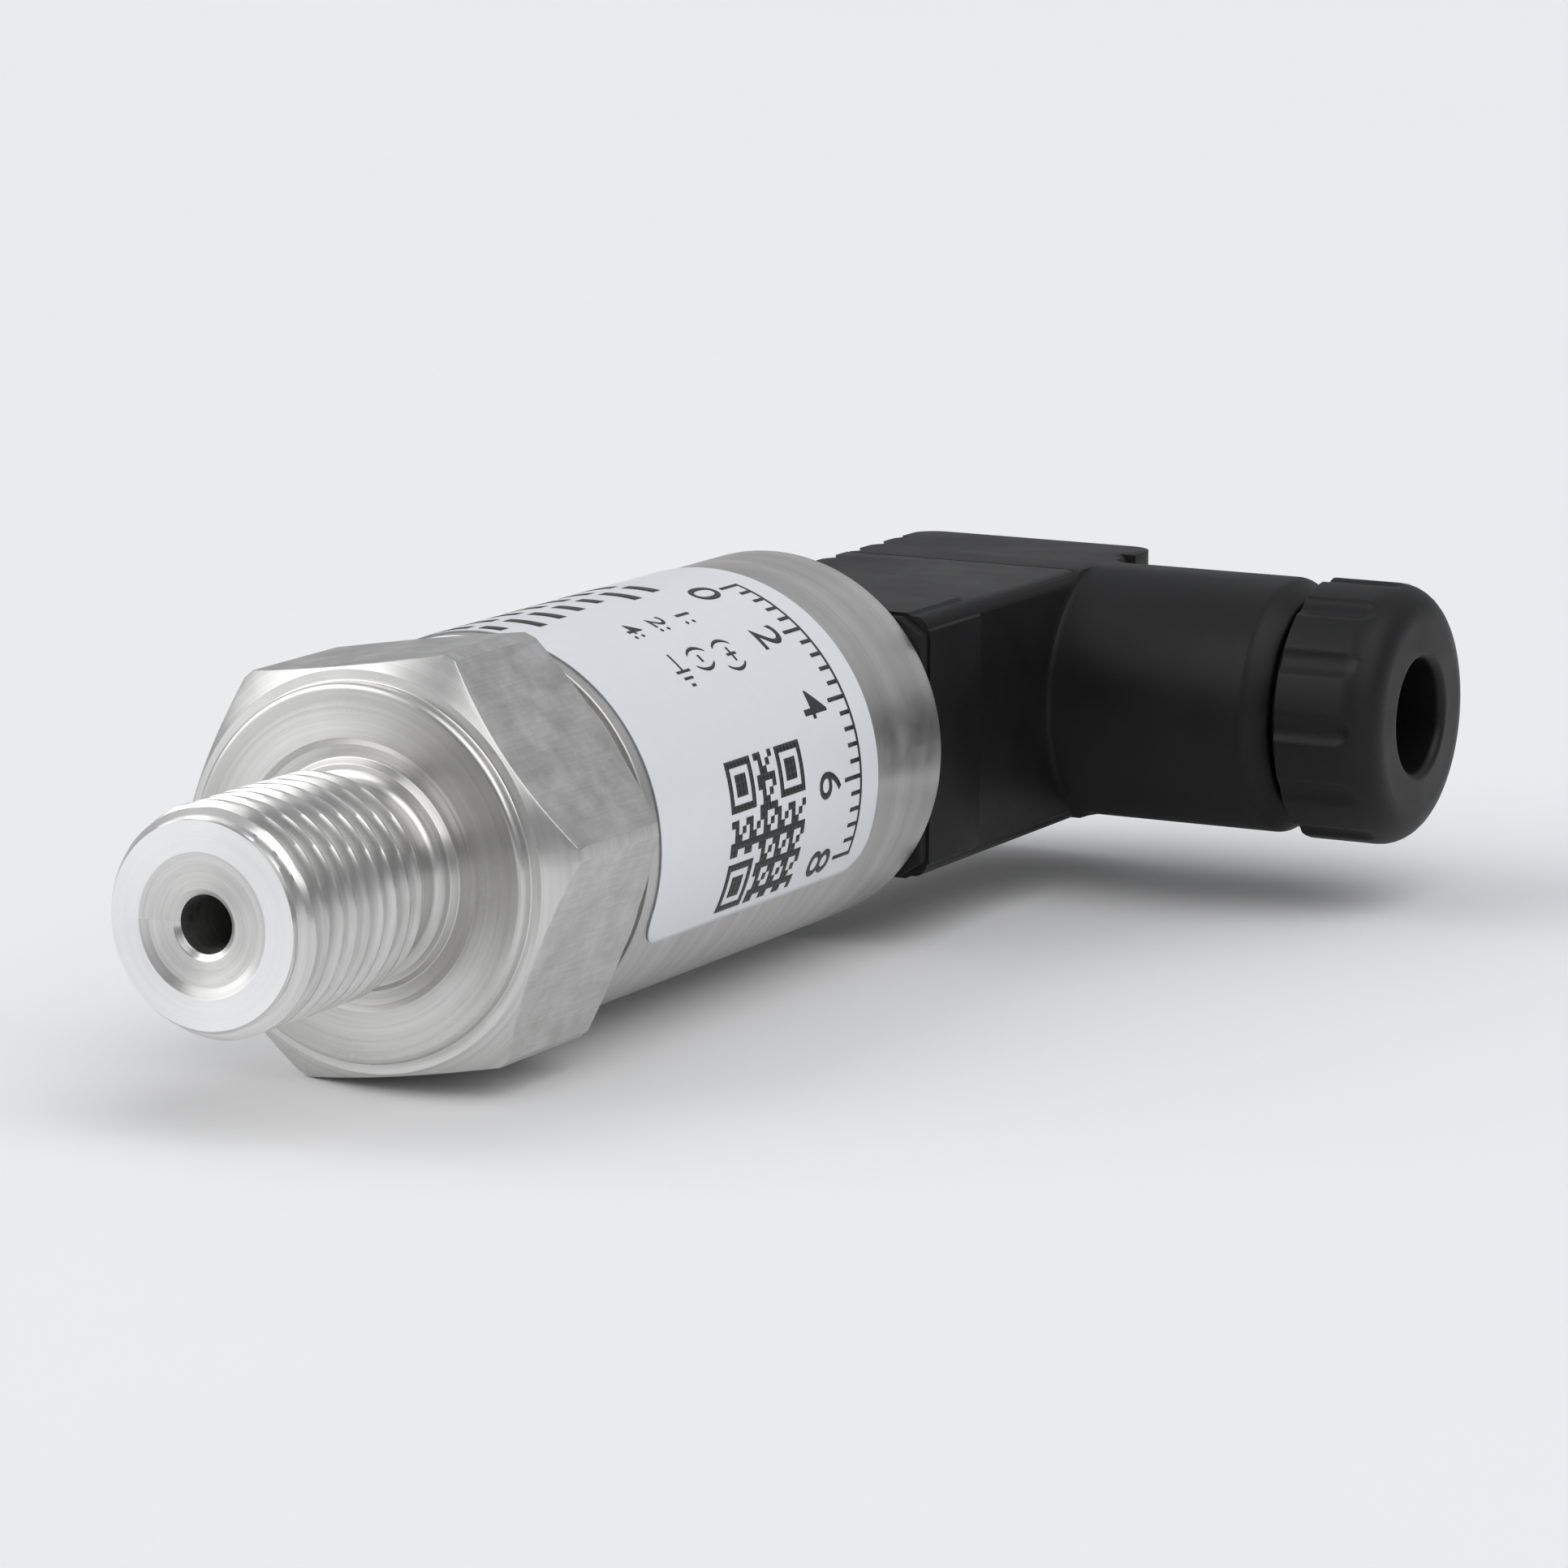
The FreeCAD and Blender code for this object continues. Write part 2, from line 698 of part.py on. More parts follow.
def section_box(half_height, x0, x1, y0, y1):
    """Box along the main axis with rounded long edges."""
    corners = [V(x0, y0, -half_height), V(x1, y0, -half_height),
               V(x1, y0, half_height), V(x0, y0, half_height)]
    wire = rounded_wire(corners, {i: cavity_edge_radius for i in range(4)})
    return Part.Face(wire).extrude(V(0, y1 - y0, 0))


def plug_hood():
    side = side_prism()
    front = section_prism(hood_y, slab_y,
                          rib_radius=hood_rib_edge_radius, outlet_radius=hood_long_edge_radius)
    slab = section_prism(slab_y, hood_rear_y, outlet_proud=rear_slab_proud,
                         rib_radius=hood_rib_edge_radius, outlet_radius=hood_rib_edge_radius)
    body = side.common(front).fuse(side.common(slab))
    seam_z = hood_height / 2 - seam_depth
    seam = box(-hood_rib_side - overcut, hood_outlet_side + overcut, seam_y - seam_width / 2,
               seam_y + seam_width / 2, seam_z, hood_height)
    body = body.cut(seam).cut(seam.mirror(V(0, 0, 0), V(0, 0, 1)))
    skirt = section_prism(hood_y, hood_y + skirt_length, proud=skirt_proud, chamfer=skirt_corner_chamfer)
    shell = body.fuse(skirt).fuse(outlet_tube()).cut(hood_hollow())
    for side in (-1, 1):
        z_wall = side * (cavity_half_height + overlap)
        z_edge = side * (cavity_half_height - ledge_height)
        ledge = box(-cavity_rib_side - overlap, cavity_outlet_side + overlap, block_rear_y,
                    block_rear_y + ledge_length, min(z_wall, z_edge), max(z_wall, z_edge))
        shell = shell.fuse(ledge)
    return shell.removeSplitter()


def plug_gasket():
    outer = section_prism(gasket_y, gasket_y + gasket_thickness, chamfer=skirt_corner_chamfer)
    window = section_box(cavity_half_height, -cavity_rib_side, cavity_outlet_side,
                         gasket_y - overcut, hood_y + overcut)
    return outer.cut(window)


# ---------------------------------------------------------------- terminal insert

def contact_body():
    """Formed contact: a sleeve for the blade, and a clamp block behind it."""
    sleeve = blade(contact_depth, contact_width, sleeve_y, sleeve_rear_y)
    slot = blade(pin_thickness + 2 * blade_clearance, pin_width + 2 * blade_clearance,
                 sleeve_y - overcut, sleeve_rear_y - contact_bridge)
    half = contact_block_size / 2
    block = box(contact_outer_radius - contact_block_depth, contact_outer_radius,
                sleeve_rear_y, block_rear_y, -half, half)
    return sleeve.cut(slot).fuse(block).removeSplitter()


def contact_pocket():
    """Room for one contact in the insert, open to the front for the blade and to the rear."""
    gap = contact_clearance
    rear_y = block_rear_y + overcut
    pocket = blade(contact_depth + 2 * gap, contact_width + 2 * gap, sleeve_y, rear_y)
    half = contact_block_size / 2 + gap
    wide = box(contact_outer_radius - contact_block_depth - gap, contact_outer_radius + gap,
               sleeve_rear_y - gap, rear_y, -half, half)
    window = blade(pin_thickness + 2 * blade_window_clearance, pin_width + 2 * blade_window_clearance,
                   block_front_y - overcut, sleeve_y + overcut)
    return pocket.fuse(wide).fuse(window)


def terminal_insert():
    gap = insert_block_clearance
    half = cavity_half_height - gap
    body = section_box(half, -cavity_rib_side + gap, insert_block_outlet_side, block_front_y, block_rear_y)
    for pocket in around(contact_pocket(), PIN_ANGLES + (EARTH_ANGLE,)):
        body = body.cut(pocket)
    centre_hole = rod(screw_hole_diameter, block_front_y - overcut, block_rear_y + overcut)
    front_relief = rod(insert_flange_diameter + 2 * insert_relief_clearance,
                       block_front_y - overcut, block_front_y + insert_relief_depth)
    return body.cut(centre_hole).cut(front_relief)


def terminal_screw():
    """Slotted screw that stands on the contact's clamp block."""
    radius = contact_outer_radius - contact_block_depth / 2
    rear_y = block_rear_y + terminal_head_height
    head = rod(terminal_head_diameter, block_rear_y, rear_y, radius)
    half = terminal_slot_width / 2
    slot = box(radius - terminal_head_diameter, radius + terminal_head_diameter,
               rear_y - terminal_slot_depth, rear_y + overcut, -half, half)
    return head.cut(slot)


# ---------------------------------------------------------------- centre screw

def centre_screw():
    radius = centre_screw_diameter / 2
    seat_y = recess_floor_y + washer_thickness
    rear_y = seat_y + centre_head_height
    tip_y = platform_y - centre_screw_engagement
    head_radius = centre_head_diameter / 2
    body = turned([
        (0, tip_y), (radius - centre_tip_chamfer, tip_y), (radius, tip_y + centre_tip_chamfer),
        (radius, seat_y), (head_radius, seat_y), (head_radius, rear_y), (0, rear_y)],
        {5: centre_head_radius})
    half = centre_slot_width / 2
    slot = box(-centre_head_diameter, centre_head_diameter, rear_y - centre_slot_depth, rear_y + overcut,
               -half, half)
    return body.cut(slot)


def screw_washer():
    bore = centre_screw_diameter / 2 + screw_clearance
    outer = washer_diameter / 2
    return turned([
        (bore, recess_floor_y), (outer, recess_floor_y),
        (outer, recess_floor_y + washer_thickness), (bore, recess_floor_y + washer_thickness)],
        {1: washer_edge_radius, 2: washer_edge_radius})


# ---------------------------------------------------------------- gland

def cable_grommet():
    outer = gland_thread_diameter / 2 - grommet_clearance
    bore = grommet_bore / 2
    front_x = outlet_seat_x + grommet_seat_gap
    return turned_on_outlet([
        (front_x, bore), (front_x, outer - grommet_front_chamfer), (front_x + grommet_front_slope, outer),
        (grommet_end_x, outer), (grommet_end_x, bore + grommet_mouth_chamfer),
        (grommet_end_x - grommet_mouth_chamfer, bore)])


def gland_ring():
    outer = gland_thread_diameter / 2 - gland_ring_clearance
    bore = gland_nut_bore / 2
    return turned_on_outlet([
        (ring_x, bore), (ring_x, outer), (ring_end_x, outer), (ring_end_x, bore)],
        {1: gland_ring_edge_radius, 2: gland_ring_edge_radius})


def gland_nut():
    outer = gland_nut_diameter / 2
    stub = gland_thread_diameter / 2 - thread_clearance
    bore = gland_nut_bore / 2
    chamfer = gland_rear_chamfer
    body = turned_on_outlet([
        (stub_x, bore), (stub_x, stub - gland_stub_chamfer),
        (stub_x + gland_stub_chamfer, stub), (nut_x, stub),
        (nut_x, outer - 2 * chamfer), (nut_x + chamfer, outer), (nut_end_x, outer), (nut_end_x, bore)],
        {6: gland_front_radius, 7: gland_mouth_radius})
    cutter_radius = outer + flute_radius - flute_depth
    flute_end_x = nut_end_x - flute_front_margin
    straight = Part.makeCylinder(flute_radius, flute_end_x - nut_x + overcut,
                                 V(nut_x - overcut, outlet_y, cutter_radius), X_AXIS)
    tip = Part.makeSphere(flute_radius, V(flute_end_x, outlet_y, cutter_radius))
    cutter = straight.fuse(tip)
    for i in range(flute_count):
        flute = cutter.copy()
        flute.rotate(V(0, outlet_y, 0), X_AXIS, 360 / flute_count * i)
        body = body.cut(flute)
    return body


# ---------------------------------------------------------------- all nodes

earth, = around(contact_body(), (EARTH_ANGLE,))

nodes = {
    "process_connection": process_connection(),
    "cell_seal": cell_seal(),
    "pressure_cell": pressure_cell(),
    "cell_clamp_ring": cell_clamp_ring(),
    "cell_leads": cell_leads(),
    "circuit_board": circuit_board(),
    "board_components": board_components(),
    "housing_tube": housing_tube(),
    "type_label": type_label(),
    "connector_base": connector_base(),
    "base_seal": base_seal(),
    "contact_pins": Part.makeCompound(around(pin(), PIN_ANGLES)),
    "earth_pin": around(pin(), (EARTH_ANGLE,))[0],
    "threaded_insert": threaded_insert(),
    "plug_gasket": plug_gasket(),
    "plug_hood": plug_hood(),
    "terminal_insert": terminal_insert(),
    "socket_contacts": Part.makeCompound(around(contact_body(), PIN_ANGLES)),
    "earth_contact": earth,
    "terminal_screws": Part.makeCompound(around(terminal_screw(), PIN_ANGLES + (EARTH_ANGLE,))),
    "centre_screw": centre_screw(),
    "screw_washer": screw_washer(),
    "cable_grommet": cable_grommet(),
    "gland_ring": gland_ring(),
    "gland_nut": gland_nut(),
}

os.makedirs("parts", exist_ok=True)
for name, shape in nodes.items():
    shape.exportStep(f"parts/{name}.step")
    state = "valid" if shape.isValid() else "NOT VALID"
    print(name, len(shape.Solids), "solids", round(shape.Volume, 1), "mm3", state)
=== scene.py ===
# %% [markdown]
# A pressure transmitter, dressed
#
# The part is a small industrial sensor: a stainless process connection with a thread and a
# hexagon, a round housing with a wrapped label, and a black right-angle plug with a cable
# gland. The solids come from CAD and never move. Each lesson below takes one piece or one
# finish, says what it is on the real object, how it could be made and why this way was
# chosen, and then makes it. All lengths are metres, so millimetre sizes are multiplied by mm.

# %% Load the solids
import json
import bpy
import bmesh
import numpy as np
from mathutils import Matrix, Vector


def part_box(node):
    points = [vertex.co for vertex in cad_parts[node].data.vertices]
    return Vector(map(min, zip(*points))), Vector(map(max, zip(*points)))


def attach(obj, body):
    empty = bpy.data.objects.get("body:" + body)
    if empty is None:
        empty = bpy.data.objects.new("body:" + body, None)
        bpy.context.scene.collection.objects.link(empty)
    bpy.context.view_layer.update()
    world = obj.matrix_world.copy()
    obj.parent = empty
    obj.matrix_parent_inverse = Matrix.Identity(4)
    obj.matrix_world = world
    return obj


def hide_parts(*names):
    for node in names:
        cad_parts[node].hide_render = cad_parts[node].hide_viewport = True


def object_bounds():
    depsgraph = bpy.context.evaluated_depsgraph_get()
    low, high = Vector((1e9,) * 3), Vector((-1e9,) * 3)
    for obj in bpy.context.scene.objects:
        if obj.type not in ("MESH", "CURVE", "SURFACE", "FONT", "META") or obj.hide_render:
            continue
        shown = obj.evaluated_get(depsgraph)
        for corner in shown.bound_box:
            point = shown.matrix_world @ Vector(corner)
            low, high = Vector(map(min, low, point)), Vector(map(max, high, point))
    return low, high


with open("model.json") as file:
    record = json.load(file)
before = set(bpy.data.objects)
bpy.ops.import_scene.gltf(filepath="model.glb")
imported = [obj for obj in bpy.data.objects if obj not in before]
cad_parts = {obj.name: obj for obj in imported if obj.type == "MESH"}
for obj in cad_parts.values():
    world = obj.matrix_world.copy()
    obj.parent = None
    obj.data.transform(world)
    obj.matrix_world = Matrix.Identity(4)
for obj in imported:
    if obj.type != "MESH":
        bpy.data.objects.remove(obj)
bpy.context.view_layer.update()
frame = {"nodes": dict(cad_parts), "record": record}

mm = 0.001
nodes = frame["nodes"]

# %% [markdown]
# Two axes carry nearly everything. The sensor, the plug and the centre screw are round about
# the main axis, which is Y. The outlet, the grommet and the gland nut are round about a second
# axis, parallel to X. Both can be found again in the solids, so their places are measured and
# not typed in.

# %% The two axes and the main stations
def low(node):
    """Lowest corner of a node's box."""
    return np.array(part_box(node)[0])

def high(node):
    """Highest corner of a node's box."""
    return np.array(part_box(node)[1])

end_y = low("process_connection")[1]
spigot_rear_y = high("process_connection")[1]
housing_front_y = low("housing_tube")[1]
housing_rear_y = high("housing_tube")[1]
housing_radius = high("housing_tube")[2]
outlet_y = (low("gland_nut")[1] + high("gland_nut")[1]) / 2
nut_end_x = high("gland_nut")[0]
film = 0.12 * mm
label_radius = housing_radius + film
print("housing radius mm", housing_radius / mm, "outlet axis mm", outlet_y / mm)

# %% [markdown]
# Every new piece is a sheet of points over two parameters. Rows run along a profile and
# columns run round the axis. The faces between the points need only row and column numbers,
# so they are worked out as whole arrays. A closed shape must face outwards: the volume under
# its faces has a sign, and if the sign is negative every face is turned round.

# %% Grid faces and a closed mesh
def grid_faces(rows, columns, wrap_rows=False, wrap_columns=True):
    """Quads of a grid: point (i, j) joins (i, j+1), (i+1, j+1) and (i+1, j)."""
    i, j = np.meshgrid(np.arange(rows - (not wrap_rows)),
                       np.arange(columns - (not wrap_columns)), indexing="ij")
    i_next, j_next = (i + 1) % rows, (j + 1) % columns
    corners = [i * columns + j, i * columns + j_next,
               i_next * columns + j_next, i_next * columns + j]
    return np.stack(corners, -1).reshape(-1, 4)

def facing_out(points, faces):
    """Turns every face round where the signed volume, the sum of a . (b x c) / 6, is negative."""
    a, b, c, d = (points[faces[:, k]] for k in range(4))
    volume = np.einsum("ij,ij->", a, np.cross(b, c)) + np.einsum("ij,ij->", a, np.cross(c, d))
    return faces[:, ::-1] if volume < 0 else faces

def make_piece(name, points, faces, materials, body, replaced=(), finish=None,
               uv=None, crease=32.0, merge=True):
    """Mesh object from arrays, with its finishes, body and the nodes it stands for."""
    mesh = bpy.data.meshes.new(name)
    mesh.from_pydata(points.tolist(), [], faces.tolist())
    for material in materials:
        mesh.materials.append(material)
    if finish is not None:
        mesh.polygons.foreach_set("material_index", finish.astype(np.int32))
    if uv is not None:
        layer = mesh.uv_layers.new(name="UVMap")
        layer.data.foreach_set("uv", uv[faces.ravel()].ravel())
    if merge:
        work = bmesh.new()
        work.from_mesh(mesh)
        bmesh.ops.remove_doubles(work, verts=work.verts, dist=1e-8)
        work.to_mesh(mesh)
        work.free()
    mesh.polygons.foreach_set("use_smooth", np.ones(len(mesh.polygons), bool))
    mesh.set_sharp_from_angle(angle=np.radians(crease))
    mesh.update()
    made = bpy.data.objects.new(name, mesh)
    bpy.context.scene.collection.objects.link(made)
    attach(made, body)
    if replaced:
        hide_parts(*replaced)
    print(name, "faces", len(mesh.polygons))
    return made

# %% [markdown]
# Turned and moulded pieces have no truly sharp edges: a lathe tool leaves a small radius and a
# mould needs one. An outline with a radius at each corner can be drawn as arcs. All corners are
# rounded at once here. The unit vectors to both neighbours give the half angle, that gives the
# arc's centre, and a spherical blend between the two touching directions gives its points. One
# more point just outside each arc holds the flat beside it flat when the shading is smooth.

# %% Outlines with rounded corners
def soften(corners, radii, steps=4, closed=True, hold=0.04 * mm):
    """Outline points: each corner becomes an arc, slerp(a, b, t) about the arc's centre."""
    corners = np.array(corners, float)
    radii = np.array(radii, float)
    before, after = np.roll(corners, 1, 0), np.roll(corners, -1, 0)
    to_last = before - corners
    to_next = after - corners
    last_length = np.linalg.norm(to_last, axis=1, keepdims=True)
    next_length = np.linalg.norm(to_next, axis=1, keepdims=True)
    to_last /= last_length
    to_next /= next_length
    half = np.arccos(np.clip((to_last * to_next).sum(1), -1, 1)) / 2
    half = np.clip(half, 1e-3, np.pi / 2 - 1e-3)
    reach = radii / np.tan(half)
    bisector = to_last + to_next
    bisector /= np.maximum(np.linalg.norm(bisector, axis=1, keepdims=True), 1e-9)
    centre = corners + bisector * (radii / np.sin(half))[:, None]
    start = corners + to_last * reach[:, None] - centre
    stop = corners + to_next * reach[:, None] - centre
    sweep = (np.pi - 2 * half)[:, None, None]
    t = np.linspace(0, 1, steps + 1)[None, :, None]
    arc = (np.sin((1 - t) * sweep) * start[:, None]
           + np.sin(t * sweep) * stop[:, None]) / np.sin(sweep)
    arc += centre[:, None]
    lead_in = corners + to_last * np.minimum(reach + hold, last_length[:, 0] / 2)[:, None]
    lead_out = corners + to_next * np.minimum(reach + hold, next_length[:, 0] / 2)[:, None]
    outline = np.concatenate([lead_in[:, None], arc, lead_out[:, None]], 1)
    if not closed:
        outline[0], outline[-1] = corners[0], corners[-1]
    outline = outline.reshape(-1, 2)
    apart = np.linalg.norm(outline - np.roll(outline, 1, 0), axis=1) > 1e-7
    return outline[apart]

def rounded_table(table, steps=4):
    """Open outline in metres from rows of (first, second, corner radius) in mm."""
    table = np.array(table, float) * mm
    return soften(table[:, :2], table[:, 2], steps=steps, closed=False)

def spun(outline, turn):
    """Rows of a grid: each outline point repeated at every column's angle."""
    return np.stack([outline[:, :1] + 0 * turn, outline[:, 1:] + 0 * turn], -1)

def turn_columns(count):
    """Even angles once round the axis."""
    return np.linspace(0, 2 * np.pi, count, endpoint=False)

def about_main(radius, y, turn):
    """Points (r cos a, y, r sin a): the angle runs from +X towards +Z."""
    return np.stack([radius * np.cos(turn), y + 0 * radius * turn, radius * np.sin(turn)], -1)

def about_outlet(x, radius, turn):
    """Points (x, y0 + r cos a, r sin a), round the outlet's axis at y0."""
    return np.stack([x + 0 * radius * turn, outlet_y + radius * np.cos(turn),
                     radius * np.sin(turn)], -1)

# %% [markdown]
# Finishes are node trees. A few short helpers keep each tree readable: one adds a node and sets
# its values, one joins two sockets. Patterns read Object coordinates, which are the part's own
# metres, so a scale of 5000 means features of about 0.2 mm. Numbers that are the same all over
# a surface are set on the shader's own sockets.

# %% Helpers for the finishes
def new_finish(name, colour, roughness, metallic=0.0, **more):
    """A Principled material; returns it, its tree and its shader."""
    material = bpy.data.materials.new(name)
    material.use_nodes = True
    tree = material.node_tree
    shader = tree.nodes["Principled BSDF"]
    shader.inputs["Base Color"].default_value = (*colour, 1)
    shader.inputs["Roughness"].default_value = roughness
    shader.inputs["Metallic"].default_value = metallic
    for socket, value in more.items():
        shader.inputs[socket.replace("_", " ")].default_value = value
    return material, tree, shader

def add(tree, kind, settings=None, **values):
    """A node, with its settings and its input values."""
    node = tree.nodes.new("ShaderNode" + kind)
    for key, value in (settings or {}).items():
        setattr(node, key, value)
    for socket, value in values.items():
        node.inputs[socket.replace("_", " ")].default_value = value
    return node

def join(tree, source, target):
    """A link from one socket to another."""
    tree.links.new(source, target)

def place(tree):
    """Object coordinates, in metres."""
    return add(tree, "TexCoord").outputs["Object"]

def sum_of(tree, operation, first, second=None, value=None):
    """A math node on one or two sockets."""
    node = add(tree, "Math", {"operation": operation})
    join(tree, first, node.inputs[0])
    if second is not None:
        join(tree, second, node.inputs[1])
    if value is not None:
        node.inputs[1].default_value = value
    return node.outputs[0]

def speckle(tree, vector, scale, detail=4.0, roughness=0.6):
    """Noise from 0 to 1; scale is in features per metre."""
    node = add(tree, "TexNoise", Scale=scale, Detail=detail, Roughness=roughness)
    join(tree, vector, node.inputs["Vector"])
    return node.outputs["Fac"]

def spread(tree, factor, low_value, high_value, from_low=0.3, from_high=0.7):
    """Stretches a 0 to 1 pattern onto a range of values."""
    node = add(tree, "MapRange", None, From_Min=from_low, From_Max=from_high,
               To_Min=low_value, To_Max=high_value)
    join(tree, factor, node.inputs["Value"])
    return node.outputs["Result"]

def two_tones(tree, factor, dark, bright, shader):
    """Base colour between two tones by a pattern."""
    node = add(tree, "Mix", {"data_type": "RGBA"})
    join(tree, factor, node.inputs["Factor"])
    node.inputs["A"].default_value = (*dark, 1)
    node.inputs["B"].default_value = (*bright, 1)
    join(tree, node.outputs["Result"], shader.inputs["Base Color"])
    return node

def relief(tree, height, strength, distance, shader, below=None):
    """Bump from a height pattern, over another bump if given."""
    node = add(tree, "Bump", None, Strength=strength, Distance=distance)
    join(tree, height, node.inputs["Height"])
    if below is not None:
        join(tree, below, node.inputs["Normal"])
    join(tree, node.outputs["Normal"], shader.inputs["Normal"])
    return node.outputs["Normal"]

# %% [markdown]
# Turned stainless steel carries the tool's path: hundreds of fine rings round the axis, on the
# flat faces as circles and on the round ones as hoops. A plain noise would look like cast metal.
# So the pattern is looked up at (distance from the axis, y, a little of the angle): it is almost
# the same all the way round, and changes quickly across the rings. The rings also stretch each
# highlight across themselves, which is what draws the bright fans on a turned face. That is
# anisotropy, and its tangent is the direction round the axis, a cross product.

# %% Turned steel
def ring_vector(tree, spin=0.00012):
    """(distance from Y, y, angle times spin) as a vector for a texture."""
    where = place(tree)
    axes = add(tree, "SeparateXYZ")
    join(tree, where, axes.inputs[0])
    x, y, z = axes.outputs
    squared = sum_of(tree, "ADD", sum_of(tree, "MULTIPLY", x, x), sum_of(tree, "MULTIPLY", z, z))
    distance = sum_of(tree, "SQRT", squared)
    angle = sum_of(tree, "MULTIPLY", sum_of(tree, "ARCTAN2", z, x), value=spin)
    vector = add(tree, "CombineXYZ")
    join(tree, distance, vector.inputs[0])
    join(tree, y, vector.inputs[1])
    join(tree, angle, vector.inputs[2])
    return vector.outputs[0], where

def round_tangent(tree, where, shader):
    """Tangent round the main axis: position x Y, made unit length."""
    cross = add(tree, "VectorMath", {"operation": "CROSS_PRODUCT"})
    join(tree, where, cross.inputs[0])
    cross.inputs[1].default_value = (0, 1, 0)
    unit = add(tree, "VectorMath", {"operation": "NORMALIZE"})
    join(tree, cross.outputs[0], unit.inputs[0])
    join(tree, unit.outputs[0], shader.inputs["Tangent"])

def turned_finish(name, dark, bright, rough, ring_scale=4200.0, depth=0.5, stretch=0.75):
    """Steel with fine and wide rings, uneven gloss and highlights drawn across the rings."""
    material, tree, shader = new_finish(name, bright, rough, 1.0, Anisotropic=stretch,
                                        Anisotropic_Rotation=0.25)
    rings, where = ring_vector(tree)
    fine = speckle(tree, rings, ring_scale, 5.0, 0.7)
    wide = speckle(tree, rings, ring_scale / 7, 2.0, 0.5)
    blotch = speckle(tree, where, 260.0, 3.0, 0.6)
    both = sum_of(tree, "ADD", sum_of(tree, "MULTIPLY", fine, value=0.5),
                  sum_of(tree, "MULTIPLY", wide, value=0.5))
    two_tones(tree, spread(tree, both, 0, 1, 0.35, 0.65), dark, bright, shader)
    join(tree, spread(tree, blotch, rough - 0.05, rough + 0.08), shader.inputs["Roughness"])
    relief(tree, both, depth, 0.02 * mm, shader)
    round_tangent(tree, where, shader)
    return material

turned_steel = turned_finish("turned_steel", (0.52, 0.515, 0.505), (0.74, 0.735, 0.725), 0.30)
tube_steel = turned_finish("tube_steel", (0.52, 0.51, 0.50), (0.66, 0.65, 0.64), 0.34,
                           ring_scale=6000.0, depth=0.25, stretch=0.6)
# The flat ring at the nose end is the same steel, smoother and with finer rings; its lighter colour
# is a painted highlight.
faced_steel_painted_highlight = turned_finish("faced_steel_painted_highlight", (0.80, 0.80, 0.80), (0.88, 0.88, 0.88), 0.30,
                            ring_scale=5200.0, depth=0.2, stretch=0.4)
print("turned finishes", turned_steel.name, tube_steel.name, faced_steel_painted_highlight.name)

# %% [markdown]
# The hexagon's flats are not turned but drawn with the bar: duller, with faint lengthwise lines,
# small stains and nicks from handling. The stains are a large soft noise, the nicks the top of
# a cell pattern, and the lines a noise stretched along Y.

# %% Drawn flats of the hexagon
def drawn_finish():
    """Lengthwise lines, soft stains and small nicks, each from its own pattern."""
    material, tree, shader = new_finish("drawn_steel", (0.6, 0.6, 0.58), 0.36, 1.0)
    where = place(tree)
    stretched = add(tree, "Mapping", None, Scale=(1.0, 0.06, 1.0))
    join(tree, where, stretched.inputs["Vector"])
    lines = speckle(tree, stretched.outputs[0], 5200.0, 4.0, 0.7)
    stains = speckle(tree, where, 420.0, 5.0, 0.65)
    nicks = add(tree, "TexVoronoi", {"feature": "F1"}, Scale=700.0)
    join(tree, where, nicks.inputs["Vector"])
    nick = spread(tree, nicks.outputs["Distance"], 0.0, 1.0, 0.02, 0.12)
    mottled = sum_of(tree, "ADD", sum_of(tree, "MULTIPLY", lines, value=0.35),
                     sum_of(tree, "MULTIPLY", stains, value=0.65))
    two_tones(tree, spread(tree, mottled, 0, 1, 0.36, 0.62), (0.50, 0.495, 0.485),
              (0.67, 0.665, 0.655), shader)
    join(tree, spread(tree, stains, 0.36, 0.50), shader.inputs["Roughness"])
    first = relief(tree, lines, 0.25, 0.015 * mm, shader)
    relief(tree, nick, 0.2, 0.02 * mm, shader, first)
    return material

drawn_steel = drawn_finish()
print("drawn finish", drawn_steel.name)

# %% [markdown]
# The process connection is one bar of steel: nose chamfer, thread, undercut, a thin raised lip
# that seals against the port, a flat turned collar and the hexagon. It could be joined from
# several solids, but the thread has to run out into the chamfer at one end and the undercut at
# the other. A single grid does that without a seam: its rows follow the profile, and each point
# takes the smaller of the plain radius and the thread's radius at its own angle.

# %% Thread
thread_radius = 7.0 * mm
thread_pitch = 1.5 * mm
chamfer_length = 1.25 * mm
nose_radius = 6.2 * mm
thread_rear_y = 5.875 * mm
undercut_radius = 5.85 * mm
runout_y = thread_rear_y + (thread_radius - undercut_radius)
thread_row_count = 160

def thread_groove(y, turn, pitch, crest=1 / 16, root=1 / 8):
    """Depth of a right-hand 60 degree groove; q is the distance from its middle in pitches."""
    phase = y / pitch + turn / (2 * np.pi)
    q = np.abs(phase - np.floor(phase) - 0.5)
    flank = np.clip((0.5 - crest - q) / (0.5 - crest - root), 0, 1)
    full = (0.5 - crest - root) * pitch * np.sqrt(3)
    return full * (flank - 0.10 * np.sin(2 * np.pi * flank) / np.pi)

def nose_envelope(y):
    """Plain radius along the thread: nose chamfer, full diameter, slope to the undercut."""
    rise = nose_radius + (y - end_y) / chamfer_length * (thread_radius - nose_radius)
    fall = thread_radius - np.maximum(y - thread_rear_y, 0)
    return np.minimum(np.minimum(rise, thread_radius), fall)

print("thread depth mm", float(thread_groove(0.0, 0.0, thread_pitch).max() / mm))

# %% [markdown]
# A hexagon turned off at its corners has two radii. Along a flat, the radius is the flat's
# distance divided by the cosine of the angle from the flat's middle; at the corners it stops at
# the turned diameter. The chamfer is a cone, so where it meets a flat it leaves the curved edge
# that every nut shows. Columns are placed exactly on the edges between flat and corner land, so
# that these edges stay straight.

